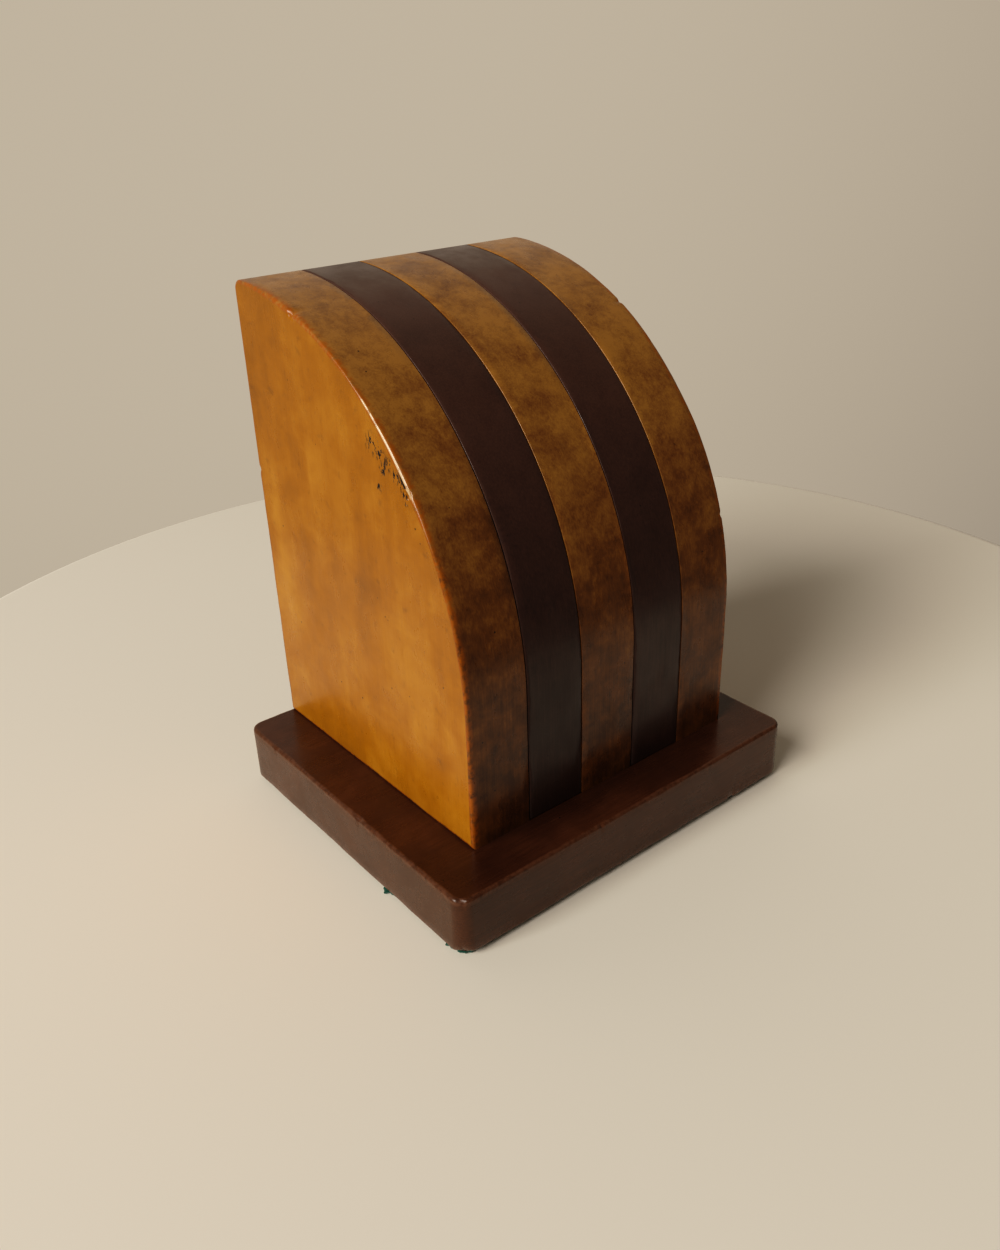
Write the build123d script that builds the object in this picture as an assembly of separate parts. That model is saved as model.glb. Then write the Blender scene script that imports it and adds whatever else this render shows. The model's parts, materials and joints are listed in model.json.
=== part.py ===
from build123d import *
import math
import os

# ---------------------------------------------------------------------------
# A quarter-round puzzle box of five upright laminations on a plinth.
# Origin: middle of the footprint, on the surface it stands on.
# +X runs across the laminations, +Y points to the flat back, +Z is up.
# The 2nd and 4th laminations lift. One hides a key lock, the other a thumb bolt.
# Both lock a drawer that slides out of the flat back.
# Places named X_... are measured from the middle plane of the block.
# All sizes are in millimetres.
# ---------------------------------------------------------------------------

# Overall sizes
LAMINATION = 16.0          # width of each of the five laminations
BLOCK_D = 79.0             # front to back, also the radius of the quarter round
TOTAL_H = 127.0            # from the table to the top of the block
BLOCK_SHIFT = 1.0          # the block stands this much to the right of the middle

# Plinth and its baize
SIDE_MARGIN = 12.0
FRONT_MARGIN = 12.0
PLINTH_T = 14.7
PLINTH_CORNER = 3.5
PLINTH_EDGE = 0.8
BAIZE_T = 1.0
BAIZE_INSET = 1.0

# Gaps
FIT = 0.2                  # between a lifting lamination and its neighbours
FOOT_FIT = 0.3             # under a lifting lamination at rest
TURN_FIT = 0.1             # round a turning or sliding brass piece
STEM_FIT = 0.15            # round a shank or stem in its plate or slot
DRAWER_FIT = 0.3
PAST = 1.0                 # how far a cut runs past the face that it opens

# Laminations
CORNER_ROUND = 1.5         # where the top meets the back
ARRIS = 0.7                # softened outer edges of the two cheeks
LEG_T = 16.0               # wood in front of the core
CORNER_WOOD = 6.7          # wood left over the front top corner of the core
LIP_T = 4.0                # back lip that covers the edge of the core board

# Core
WALL_T = 8.0
BOARD_T = 6.0
REBATE = 2.6               # in the inner face of the wall, for the keeper plates
NECK_W = 6.0
NECK_H = 12.0
KEEPER_W = 12.0
KEEPER_T = 2.0
KEEPER_OVERHANG = 1.0      # keeper plate above and below its neck
KEEPER_CORNER = 1.5
KEEPER_SCREW_L = 15.0
KEEPER_SCREW_IN = 3.0      # from the ends of the neck to its screws

# Room for the key and the thumb knob behind each lifting lamination
CHANNEL_W = 10.4
CHANNEL_D = 11.0
CHANNEL_H = 21.0
NECK_RISE = 2.3            # from the top of that room to the neck

# Key lock
KEY_RISE = 12.3            # key axis above the plinth
CAM_BASE = 4.0
CAM_LIFT = 5.0
CAM_DWELL = 14.0           # degrees held at full lift
CAM_HEEL = 150.0           # degrees from the low point to the foot of the step
CAM_STEPS = 6              # points that lay out the snail in a quarter turn
NOSE_GAP = 0.3
NOSE_L = 2.0
NOSE_W = 1.6
BOLT_W = 8.0
BOLT_T = 2.6
BOLT_L = 12.0
BOLT_SET_IN = 4.2          # from the inner face of the wall to both bolts
BOLT_CORNER = 0.8
BOLT_HEADROOM = 0.5        # from the top of a drawn bolt to the top of its case
CASE_WALL = 1.2
CASE_D = 8.0
CASE_CORNER = 1.0
COVER_T = 1.0
CASE_DROP = 8.0            # case below the key axis
CASE_SPARE_OUT = 2.7       # beside the cam, towards the cheek, its wall included
CASE_SPARE_IN = 2.0        # beside the cam's lobe
JOURNAL_R = 3.0
REAR_JOURNAL_R = 2.0
JOURNAL_END_PLAY = 0.2
LOCK_SCREW_L = 6.5
LOCK_SCREW_IN = 3.0        # from the sides of a case
LOCK_SCREW_UP = 3.4        # from the top and the bottom of a case
SHANK_R = 1.5
SHANK_END = 2.0            # the shank turns square this far inside the wall
KEY_SQUARE = 2.1
KEY_FIT = 0.05             # round the square tip
TIP_GAP = 0.3              # from the tip to the back of the cam
COLLAR_R = 2.1
COLLAR_T = 0.8
BOW_W = 9.0
BOW_L = 8.4
BOW_T = 2.2
BOW_EDGE = 0.5
BOW_HOLE_R = 1.9
BOW_HOLE_OUT = 0.6         # the hole is this far outside the middle of the bow
SHANK_IN_BOW = 1.2

# Thumb bolt
THUMB_TRAVEL = 6.0
THUMB_RISE = 9.3           # knob above the plinth when drawn back
THUMB_PLAY = 0.1           # from the stem to each end of its slot
THUMB_BOLT_L = 21.6
THUMB_R = 4.0
THUMB_T = 4.5
THUMB_EDGE = 0.6
RIB_COUNT = 5              # grooves across the button
RIB_PITCH = 1.3
RIB_W = 0.6
RIB_DEPTH = 0.5

# Escutcheons
PLATE_T = 1.0
PLATE_W = 9.6
PLATE_H = 19.0
PLATE_RISE = 1.2           # above the plinth
PLATE_CORNER = 1.6
PLATE_GAP = 0.6            # from a plate to the bow or button in front of it
PIN_IN = 1.9               # from the ends of a plate
PIN_IN_WOOD = 5.0

# Drawer
FRONT_T = 8.0
SIDE_T = 5.0
BOTTOM_T = 4.0
LINING_T = 1.0
LINING_GAP = 0.3
END_GAP = 1.0              # between the lock cases and the drawer
STOP_BACK = 10.0           # stop pin in from the back face
STOP_R = 1.5
STOP_H = 1.9
STOP_IN_PLINTH = 8.0
GROOVE_DEPTH = 2.0

# Staples that the bolts pass through
STAPLE_WIRE_R = 0.8
STAPLE_GAP = 0.3           # between a bolt and the wire
STAPLE_IN_WOOD = 3.5
STAPLE_RISE = 0.8          # between the top of a lock case and the wire
STAPLE_PLATE_T = 1.2
STAPLE_PLATE_H = 8.5
STAPLE_PLATE_EDGE = 0.6    # beside the wire
STAPLE_PLATE_CORNER = 0.8
STAPLE_PLATE_RISE = 0.3    # above the top of a lock case
STAPLE_SCREW_L = 5.5
STAPLE_SCREW_X = 3.2       # either side of a bolt
STAPLE_SCREW_DROP = 2.4    # from the top of the plate

# Fasteners
DOWEL_R = 3.0
DOWEL_IN_PLINTH = 10.0
DOWEL_IN_WOOD = 16.0
DOWEL_FROM_FRONT = 10.0
DOWEL_FROM_BACK = 14.0
CENTRE_DOWEL_L = 14.0
CENTRE_DOWEL_SKIN = 3.0    # left behind it in the wall
CENTRE_DOWEL_RISE = 22.0   # the lower one, above the plinth
CENTRE_DOWEL_DROP = 16.0   # the upper one, below the core board
SCREW_R = 1.6
SCREW_HEAD_R = 3.2
SCREW_IN_WOOD = 14.0
SCREW_SPREAD = 12.0        # either side of the middle of a cheek
NICK_DEPTH = 0.4
SMALL_SCREW_R = 0.8
SMALL_HEAD_R = 1.7
SMALL_HEAD_T = 0.9

# Ball catches
BARREL_R = 2.6
BARREL_L = 9.0
BARREL_BORE_R = 1.6
BARREL_END_T = 1.0
BALL_R = 1.5
BALL_PROUD = 0.7
CATCH_DROP = 13.5          # below the core board
CATCH_DEPTH = 9.0          # behind the front of the block
CATCH_GROOVE = 0.55
DIMPLE_R = 1.0             # rest holes at the ends of the groove
DIMPLE_DEPTH = 0.4
SPRING_WIRE_R = 0.2
SPRING_TURNS = 6
SPRING_FIT = 0.1

# Leaf springs
BOLT_LEAF_T = 0.3
BOLT_LEAF_W = 4.0
BOLT_LEAF_GAP = 0.4        # to the bolt
BOLT_LEAF_IN = 0.5         # from its ends to the nose's shoulder and the case's top
EJECTOR_T = 0.6
EJECTOR_W = 7.0
EJECTOR_DROP = 2.0         # below the core board
EJECTOR_FOOT = 9.0
EJECTOR_REACH = 13.0
EJECTOR_TIP = 4.0
EJECTOR_HOOK = 1.2         # the tip turns back this much
EJECTOR_GAP = 1.0          # from the middle of the bend to the drawer
EJECTOR_BEND_R = 1.5
EJECTOR_SCREW_L = 5.0
EJECTOR_SCREW_X = 2.0      # either side of the middle
EJECTOR_SCREW_DROP = 4.0   # below the top of the leaf

# Derived places
BLOCK_W = 5 * LAMINATION
PLINTH_W = BLOCK_W + 2 * SIDE_MARGIN
PLINTH_D = BLOCK_D + FRONT_MARGIN
Y_BACK = PLINTH_D / 2
Y_FRONT = Y_BACK - BLOCK_D
Z_BASE = BAIZE_T + PLINTH_T
Z_ARC = TOTAL_H - BLOCK_D
X_CHEEK = 1.5 * LAMINATION
X_CENTRE = 0.5 * LAMINATION
X_SLIDE = LAMINATION
Y_WALL = Y_FRONT + LEG_T
Y_INNER = Y_WALL + WALL_T
Z_CORE = Z_ARC + math.sqrt((BLOCK_D - CORNER_WOOD) ** 2 - (BLOCK_D - LEG_T) ** 2)
Z_CAVITY = Z_CORE - BOARD_T
Z_CHANNEL = Z_BASE + CHANNEL_H
Z_NECK = Z_CHANNEL + NECK_RISE
Z_KEEPER = Z_NECK - KEEPER_OVERHANG
KEEPER_H = NECK_H + 2 * KEEPER_OVERHANG
SLIDE_TRAVEL = Z_CAVITY - Z_KEEPER - KEEPER_H - FIT
Z_KEY = Z_BASE + KEY_RISE
Z_BOLT = Z_KEY + CAM_BASE + NOSE_GAP
Z_CASE_TOP = Z_BOLT + BOLT_L + BOLT_HEADROOM
Z_CASE_FOOT = Z_KEY - CASE_DROP
Y_CASE = Y_INNER + COVER_T
Y_CASE_BACK = Y_CASE + CASE_D
Y_BOLT = Y_INNER + BOLT_SET_IN
Y_HARDWARE = Y_WALL - PLATE_T - PLATE_GAP
Z_PLATE = Z_BASE + PLATE_RISE
Z_THUMB = Z_BASE + THUMB_RISE
Y_END = Y_CASE_BACK + END_GAP
X_DRAWER = X_CHEEK - DRAWER_FIT
Z_DRAWER = Z_BASE + DRAWER_FIT
Z_DRAWER_TOP = Z_CAVITY - DRAWER_FIT
Z_FLOOR = Z_DRAWER + BOTTOM_T
Y_SLATS = Y_BACK - FRONT_T
Y_STOP = Y_BACK - STOP_BACK
Y_FLOOR = Y_END + SIDE_T
DRAWER_TRAVEL = Y_STOP - Y_FLOOR - STOP_R - FIT
Z_STAPLE = Z_CASE_TOP + STAPLE_RISE + STAPLE_WIRE_R
Z_STAPLE_PLATE = Z_CASE_TOP + STAPLE_PLATE_RISE
X_STAPLE_LEG = BOLT_W / 2 + STAPLE_GAP + STAPLE_WIRE_R
Y_STAPLE_BAR = Y_BOLT - STAPLE_GAP - STAPLE_WIRE_R
Y_CATCH = Y_FRONT + CATCH_DEPTH
Z_CATCH = Z_CAVITY - CATCH_DROP
Z_EJECTOR = Z_CAVITY - EJECTOR_DROP

LEFT = -1
RIGHT = 1


# ---------------------------------------------------------------------------
# Helpers. x is measured from the middle plane of the block.
# ---------------------------------------------------------------------------

def block(x0, x1, y0, y1, z0, z1):
    """A box between two corners, whichever order its x limits come in."""
    centre = Pos(BLOCK_SHIFT + (x0 + x1) / 2, (y0 + y1) / 2, (z0 + z1) / 2)
    return centre * Box(abs(x1 - x0), y1 - y0, z1 - z0)


def rod_y(x, y0, y1, z, radius):
    """A round bar from front to back."""
    return Pos(BLOCK_SHIFT + x, (y0 + y1) / 2, z) * Rot(90, 0, 0) * Cylinder(radius, y1 - y0)


def rod_z(x, y, z0, z1, radius):
    """An upright round bar."""
    return Pos(BLOCK_SHIFT + x, y, (z0 + z1) / 2) * Cylinder(radius, z1 - z0)


def rod_x(x0, x1, y, z, radius):
    """A round bar from side to side."""
    centre = Pos(BLOCK_SHIFT + (x0 + x1) / 2, y, z)
    return centre * Rot(0, 90, 0) * Cylinder(radius, abs(x1 - x0))


def slot_y(x, y0, y1, z0, z1, radius):
    """A round-ended upright slot cut from front to back."""
    low = z0 + radius
    high = z1 - radius
    middle = block(x - radius, x + radius, y0, y1, low, high)
    return middle + rod_y(x, y0, y1, low, radius) + rod_y(x, y0, y1, high, radius)


def filled(length, shank_r, head_r):
    """The hole that a countersunk screw fills, its head up at the origin."""
    depth = head_r - shank_r
    head = Pos(0, 0, -depth / 2) * Cone(shank_r, head_r, depth)
    return head + Pos(0, 0, -(depth + length) / 2) * Cylinder(shank_r, length - depth)


def countersunk(length, shank_r, head_r):
    """A countersunk screw with a slotted head."""
    nick = Pos(0, 0, -NICK_DEPTH / 2) * Box(3 * head_r, head_r / 4, NICK_DEPTH)
    return filled(length, shank_r, head_r) - nick


def round_head(length, shank_r, head_r, head_t):
    """A domed-head screw, its shank down from the origin and its head above it."""
    ball_r = (head_r ** 2 + head_t ** 2) / (2 * head_t)
    dome = Pos(0, 0, head_t - ball_r) * Sphere(ball_r)
    dome = dome & (Pos(0, 0, head_t / 2) * Box(4 * head_r, 4 * head_r, head_t))
    nick = Pos(0, 0, head_t) * Box(3 * head_r, head_r / 4, 2 * NICK_DEPTH)
    shank = Pos(0, 0, -length / 2) * Cylinder(shank_r, length)
    return dome - nick + shank


def group(pieces):
    """Separate solids that share one node."""
    return Compound(children=[solid for piece in pieces for solid in piece.solids()])


# Rotations that point a screw's head one way
HEAD_FRONT = Rot(90, 0, 0)
HEAD_BACK = Rot(-90, 0, 0)
HEAD_DOWN = Rot(180, 0, 0)


# ---------------------------------------------------------------------------
# Side outline: straight front, quarter round, flat back
# ---------------------------------------------------------------------------

def outline(z_bottom):
    """The side view of the block above z_bottom, as a face in the YZ plane."""
    front = Line((Y_FRONT, z_bottom), (Y_FRONT, Z_ARC))
    round_top = CenterArc((Y_BACK, Z_ARC), BLOCK_D, 90, 90)
    back = Line((Y_BACK, TOTAL_H), (Y_BACK, z_bottom))
    base = Line((Y_BACK, z_bottom), (Y_FRONT, z_bottom))
    face = make_face([front, round_top, back, base])
    corner = face.vertices().sort_by(lambda v: v.X + v.Y)[-1]
    return Plane.YZ * fillet(corner, CORNER_ROUND)


def slab(x0, x1, z_bottom):
    """One upright lamination."""
    return Pos(BLOCK_SHIFT + x0, 0, 0) * extrude(outline(z_bottom), x1 - x0)


def core_space(x0, x1, gap, z_bottom):
    """What a lamination leaves free for the core: wall, board and drawer."""
    tall = block(x0, x1, Y_WALL - gap, Y_BACK - LIP_T + gap, z_bottom - PAST,
                 Z_CORE + gap)
    return tall + block(x0, x1, Y_WALL - gap, Y_BACK + PAST, z_bottom - PAST, Z_CAVITY)


# ---------------------------------------------------------------------------
# Fasteners in fixed places, made first because their hosts are cut to them
# ---------------------------------------------------------------------------

def cheek_dowels():
    """Two dowels up from the plinth into each cheek."""
    places = [(side * 2 * LAMINATION, y) for side in (LEFT, RIGHT)
              for y in (Y_FRONT + DOWEL_FROM_FRONT, Y_BACK - DOWEL_FROM_BACK)]
    return [rod_z(x, y, Z_BASE - DOWEL_IN_PLINTH, Z_BASE + DOWEL_IN_WOOD, DOWEL_R)
            for x, y in places]


def centre_dowels():
    """Two dowels from the centre lamination into the core wall."""
    y1 = Y_INNER - CENTRE_DOWEL_SKIN
    return [rod_y(0, y1 - CENTRE_DOWEL_L, y1, z, DOWEL_R)
            for z in (Z_BASE + CENTRE_DOWEL_RISE, Z_CAVITY - CENTRE_DOWEL_DROP)]


def plinth_screw_places():
    """Screws up through the plinth: two for each cheek and one for the wall."""
    middle = (Y_FRONT + Y_BACK) / 2
    cheeks = [(side * 2 * LAMINATION, y) for side in (LEFT, RIGHT)
              for y in (middle - SCREW_SPREAD, middle + SCREW_SPREAD)]
    return cheeks + [(0, Y_WALL + WALL_T / 2)]


def plinth_screws(shape):
    """The plinth screws, or the holes that they fill."""
    return [Pos(BLOCK_SHIFT + x, y, BAIZE_T) * HEAD_DOWN
            * shape(PLINTH_T + SCREW_IN_WOOD, SCREW_R, SCREW_HEAD_R)
            for x, y in plinth_screw_places()]


def catch_centre(side):
    """The middle of a ball, in a cheek and a little proud of it."""
    return Pos(BLOCK_SHIFT + side * (X_CHEEK + BALL_R - BALL_PROUD), Y_CATCH, Z_CATCH)


# ---------------------------------------------------------------------------
# Fixed woodwork
# ---------------------------------------------------------------------------

def plinth():
    """The board that everything stands on."""
    body = Pos(0, 0, BAIZE_T + PLINTH_T / 2) * Box(PLINTH_W, PLINTH_D, PLINTH_T)
    body = fillet(body.edges().filter_by(Axis.Z), PLINTH_CORNER)
    rims = body.edges().group_by(Axis.Z)
    body = fillet(rims[0] + rims[-1], PLINTH_EDGE)
    for hole in cheek_dowels() + plinth_screws(filled) + [drawer_stop()]:
        body -= hole
    return body


def plinth_baize():
    """The cloth under the plinth."""
    w = PLINTH_W - 2 * BAIZE_INSET
    d = PLINTH_D - 2 * BAIZE_INSET
    pad = Pos(0, 0, BAIZE_T / 2) * Box(w, d, BAIZE_T)
    return fillet(pad.edges().filter_by(Axis.Z), PLINTH_CORNER - BAIZE_INSET)


def cheek(side):
    """An outer lamination, a full slab, let in for the lock case if that reaches it."""
    outer = side * 2.5 * LAMINATION
    low, high = sorted((outer, side * X_CHEEK))
    body = slab(low, high, Z_BASE)
    face = body.faces().sort_by(Axis.X)[-1 if side == RIGHT else 0]
    rim = face.edges().sort_by(Axis.Z)[1:]
    body = fillet(rim, ARRIS)
    body -= case_room(side)
    for hole in cheek_dowels() + plinth_screws(filled):
        body -= hole
    return body - rod_x(side * X_CHEEK, side * (X_CHEEK + BARREL_L), Y_CATCH, Z_CATCH, BARREL_R)


def centre_slab():
    """The fixed middle lamination, glued over the core."""
    body = slab(-X_CENTRE, X_CENTRE, Z_BASE) - core_space(-X_CENTRE, X_CENTRE, 0, Z_BASE)
    for hole in centre_dowels():
        body -= hole
    return body


def core_wall():
    """The upright board behind the laminations, which carries both locks."""
    body = block(-X_CHEEK, X_CHEEK, Y_WALL, Y_INNER, Z_BASE, Z_CAVITY)
    for side in (LEFT, RIGHT):
        x = side * X_SLIDE
        half_neck = NECK_W / 2 + FIT
        half_keeper = KEEPER_W / 2 + FIT
        body -= block(x - half_neck, x + half_neck, Y_WALL, Y_INNER, Z_NECK - FIT, Z_CAVITY)
        body -= block(x - half_keeper, x + half_keeper, Y_INNER - REBATE, Y_INNER,
                      Z_KEEPER - FIT, Z_CAVITY)
    body -= rod_y(LEFT * X_SLIDE, Y_WALL, Y_INNER, Z_KEY, JOURNAL_R + TURN_FIT)
    body -= thumb_slot(Y_WALL, Y_INNER)
    for hole in centre_dowels() + plinth_screws(filled) + lock_screws(filled):
        body -= hole
    for hole in plate_pins() + ejector_screws(True):
        body -= hole
    return body


def core_board():
    """The board over the drawer, which also stops the lifting laminations."""
    return block(-X_CHEEK, X_CHEEK, Y_WALL, Y_BACK - LIP_T, Z_CAVITY, Z_CORE)


# ---------------------------------------------------------------------------
# Lifting laminations
# ---------------------------------------------------------------------------

def slide(side):
    """A lamination that lifts, bent round the core, with its room for hardware."""
    x = side * X_SLIDE
    half = LAMINATION / 2 - FIT
    body = slab(x - half, x + half, Z_BASE + FOOT_FIT)
    body -= core_space(x - half, x + half, FIT, Z_BASE)
    body -= block(x - CHANNEL_W / 2, x + CHANNEL_W / 2, Y_WALL - CHANNEL_D, Y_WALL,
                  Z_BASE, Z_CHANNEL)
    x_out = side * (X_CHEEK - FIT)
    x_deep = side * (X_CHEEK - FIT - CATCH_GROOVE)
    low = Z_CATCH - SLIDE_TRAVEL
    body -= block(x_out, x_deep, Y_CATCH - BALL_R, Y_CATCH + BALL_R, low, Z_CATCH)
    for z in (low, Z_CATCH):
        body -= rod_x(x_out, x_deep, Y_CATCH, z, BALL_R)
        body -= rod_x(x_out, x_deep - side * DIMPLE_DEPTH, Y_CATCH, z, DIMPLE_R)
    for hole in keeper_screws(side, filled):
        body -= hole
    return body


def slide_neck(side):
    """The block that joins a lifting lamination to its keeper, through the wall."""
    x = side * X_SLIDE
    body = block(x - NECK_W / 2, x + NECK_W / 2, Y_WALL - FIT, Y_INNER - REBATE + FIT,
                 Z_NECK, Z_NECK + NECK_H)
    for hole in keeper_screws(side, filled):
        body -= hole
    return body


def keeper_plate(side):
    """The brass plate that holds the lamination to the wall."""
    x = side * X_SLIDE
    y0 = Y_INNER - REBATE + FIT
    body = block(x - KEEPER_W / 2, x + KEEPER_W / 2, y0, y0 + KEEPER_T,
                 Z_KEEPER, Z_KEEPER + KEEPER_H)
    body = fillet(body.edges().filter_by(Axis.Y), KEEPER_CORNER)
    for hole in keeper_screws(side, filled):
        body -= hole
    return body


def keeper_screws(side, shape):
    """Two screws from the inside through the keeper and the neck."""
    y = Y_INNER - REBATE + FIT + KEEPER_T
    heights = (Z_NECK + KEEPER_SCREW_IN, Z_NECK + NECK_H - KEEPER_SCREW_IN)
    return [Pos(BLOCK_SHIFT + side * X_SLIDE, y, z) * HEAD_BACK
            * shape(KEEPER_SCREW_L, SMALL_SCREW_R, SMALL_HEAD_R) for z in heights]


# ---------------------------------------------------------------------------
# Key lock
# ---------------------------------------------------------------------------

def case_sides(side):
    """Where a lock case ends in x: towards its cheek, and on the side of the cam's lobe."""
    outer = side * (X_SLIDE + CAM_BASE + CASE_SPARE_OUT)
    inner = side * (X_SLIDE - CAM_BASE - CAM_LIFT - CASE_SPARE_IN)
    return outer, inner


def case_room(side):
    """A lock case and its cover, with a little air round them."""
    outer, inner = case_sides(side)
    return block(outer + side * FIT, inner, Y_INNER, Y_CASE_BACK + FIT, Z_CASE_FOOT - FIT,
                 Z_CASE_TOP + FIT)


def lock_box(side):
    """A brass case, open to the wall, with a slot for the bolt in its top."""
    x0, x1 = sorted(case_sides(side))
    body = block(x0, x1, Y_CASE, Y_CASE_BACK, Z_CASE_FOOT, Z_CASE_TOP)
    body = fillet(body.edges().filter_by(Axis.Y), CASE_CORNER)
    body -= block(x0 + CASE_WALL, x1 - CASE_WALL, Y_CASE, Y_CASE_BACK - CASE_WALL,
                  Z_CASE_FOOT + CASE_WALL, Z_CASE_TOP - CASE_WALL)
    half = BOLT_W / 2 + TURN_FIT
    return body - block(side * X_SLIDE - half, side * X_SLIDE + half, Y_BOLT - TURN_FIT,
                        Y_BOLT + BOLT_T + TURN_FIT, Z_CASE_TOP - CASE_WALL - PAST,
                        Z_CASE_TOP + PAST)


def lock_case():
    """The key lock's case, with the bearing for the rear of the cam."""
    x = LEFT * X_SLIDE
    return lock_box(LEFT) - rod_y(x, Y_CASE, Y_CASE_BACK, Z_KEY, REAR_JOURNAL_R + TURN_FIT)


def cover(side):
    """The plate between a lock case and the wall."""
    x0, x1 = case_sides(side)
    body = block(x0, x1, Y_INNER, Y_CASE, Z_CASE_FOOT, Z_CASE_TOP)
    body = fillet(body.edges().filter_by(Axis.Y), CASE_CORNER)
    for hole in lock_screws(filled):
        body -= hole
    return body


def lock_cover():
    """The key lock's cover, bored for the cam's front journal."""
    return cover(LEFT) - rod_y(LEFT * X_SLIDE, Y_INNER, Y_CASE, Z_KEY, JOURNAL_R + TURN_FIT)


def lock_screw_places():
    """Corner screws inside each case, clear of the cam and the bolts."""
    low = Z_CASE_FOOT + LOCK_SCREW_UP
    high = Z_CASE_TOP - LOCK_SCREW_UP
    places = []
    for side in (LEFT, RIGHT):
        outer, inner = case_sides(side)
        outer -= side * LOCK_SCREW_IN
        inner += side * LOCK_SCREW_IN
        places += [(inner, low), (inner, high), (outer, low)]
    return places


def lock_screws(shape):
    """Screws that hold both covers to the wall, heads flush in the covers."""
    return [Pos(BLOCK_SHIFT + x, Y_CASE, z) * HEAD_BACK
            * shape(LOCK_SCREW_L, SMALL_SCREW_R, SMALL_HEAD_R) for x, z in lock_screw_places()]


def lock_cam():
    """A snail cam on a hub: its radius grows in step with the turn of the key."""
    rise = [math.radians(90 * step / CAM_STEPS) for step in range(CAM_STEPS + 1)]
    radii = [CAM_BASE + CAM_LIFT * angle / (math.pi / 2) for angle in rise]
    points = [(r * math.sin(a), r * math.cos(a)) for r, a in zip(radii, rise)]
    top = CAM_BASE + CAM_LIFT
    snail = Spline(points)
    dwell = CenterArc((0, 0), top, 0, -CAM_DWELL)
    drop = math.radians(90 + CAM_DWELL)
    low = math.radians(CAM_HEEL)
    step = Line((top * math.sin(drop), top * math.cos(drop)),
                (CAM_BASE * math.sin(low), CAM_BASE * math.cos(low)))
    base = CenterArc((0, 0), CAM_BASE, 90 - CAM_HEEL, CAM_HEEL - 360)
    plate = Plane.XZ * make_face([snail, dwell, step, base])
    x = BLOCK_SHIFT + LEFT * X_SLIDE
    body = Pos(x, Y_BOLT + BOLT_T, Z_KEY) * extrude(plate, BOLT_T)
    body += rod_y(LEFT * X_SLIDE, Y_WALL + TURN_FIT, Y_BOLT, Z_KEY, JOURNAL_R)
    body += rod_y(LEFT * X_SLIDE, Y_BOLT, Y_CASE_BACK - JOURNAL_END_PLAY, Z_KEY, REAR_JOURNAL_R)
    body -= rod_y(LEFT * X_SLIDE, Y_WALL, Y_INNER - SHANK_END, Z_KEY, SHANK_R + TURN_FIT)
    half = KEY_SQUARE / 2 + KEY_FIT
    return body - block(LEFT * X_SLIDE - half, LEFT * X_SLIDE + half, Y_WALL,
                        Y_BOLT + BOLT_T, Z_KEY - half, Z_KEY + half)


def lock_bolt():
    """The bolt that the cam lifts, with a narrow nose that rests on the cam."""
    x = LEFT * X_SLIDE
    body = block(x - BOLT_W / 2, x + BOLT_W / 2, Y_BOLT, Y_BOLT + BOLT_T,
                 Z_BOLT + NOSE_L, Z_BOLT + BOLT_L)
    top = body.edges().group_by(Axis.Z)[-1].filter_by(Axis.Y)
    body = fillet(top, BOLT_CORNER)
    nose_r = NOSE_W / 2
    body += block(x - nose_r, x + nose_r, Y_BOLT, Y_BOLT + BOLT_T, Z_BOLT + nose_r,
                  Z_BOLT + NOSE_L)
    return body + rod_y(x, Y_BOLT, Y_BOLT + BOLT_T, Z_BOLT + nose_r, nose_r)


def bolt_leaf():
    """A bowed strip that keeps the bolt from rattling."""
    y_back = Y_CASE_BACK - CASE_WALL
    y_near = Y_BOLT + BOLT_T + BOLT_LEAF_GAP + BOLT_LEAF_T / 2
    y_far = y_back - BOLT_LEAF_T / 2
    z0 = Z_BOLT + NOSE_L + BOLT_LEAF_IN
    z1 = Z_CASE_TOP - CASE_WALL - BOLT_LEAF_IN
    bow = ThreePointArc((y_far, z0), (y_near, (z0 + z1) / 2), (y_far, z1))
    strip = extrude(Plane.YZ * trace(bow, BOLT_LEAF_T), BOLT_LEAF_W)
    limits = block(-X_CHEEK, X_CHEEK, Y_BOLT + BOLT_T, y_back, Z_BASE, Z_CASE_TOP - CASE_WALL)
    return (Pos(BLOCK_SHIFT + LEFT * X_SLIDE - BOLT_LEAF_W / 2, 0, 0) * strip) & limits


def key():
    """A small key with a ring bow, a round shank and a square tip."""
    x = LEFT * X_SLIDE
    y_bow = Y_HARDWARE - BOW_L / 2
    y_square = Y_INNER - SHANK_END
    oval = Plane.YZ * Ellipse(BOW_L / 2, BOW_W / 2)
    bow = Pos(BLOCK_SHIFT + x - BOW_T / 2, y_bow, Z_KEY) * extrude(oval, BOW_T)
    bow = fillet(bow.edges(), BOW_EDGE)
    bow -= rod_x(x - BOW_T, x + BOW_T, y_bow - BOW_HOLE_OUT, Z_KEY, BOW_HOLE_R)
    shank = rod_y(x, Y_HARDWARE - SHANK_IN_BOW, y_square, Z_KEY, SHANK_R)
    collar = rod_y(x, Y_HARDWARE - COLLAR_T / 2, Y_HARDWARE + COLLAR_T / 2, Z_KEY, COLLAR_R)
    half = KEY_SQUARE / 2
    tip = block(x - half, x + half, y_square, Y_BOLT + BOLT_T - TIP_GAP, Z_KEY - half,
                Z_KEY + half)
    return bow + shank + collar + tip


# ---------------------------------------------------------------------------
# Thumb bolt
# ---------------------------------------------------------------------------

def thumb_slot(y0, y1):
    """The upright slot that the thumb bolt's stem slides in."""
    r = SHANK_R + STEM_FIT
    z0 = Z_THUMB - r - THUMB_PLAY
    z1 = Z_THUMB + THUMB_TRAVEL + r + THUMB_PLAY
    return slot_y(RIGHT * X_SLIDE, y0, y1, z0, z1, r)


def thumb_cover():
    """The thumb bolt's cover, slotted for its stem."""
    return cover(RIGHT) - thumb_slot(Y_INNER, Y_CASE)


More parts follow.
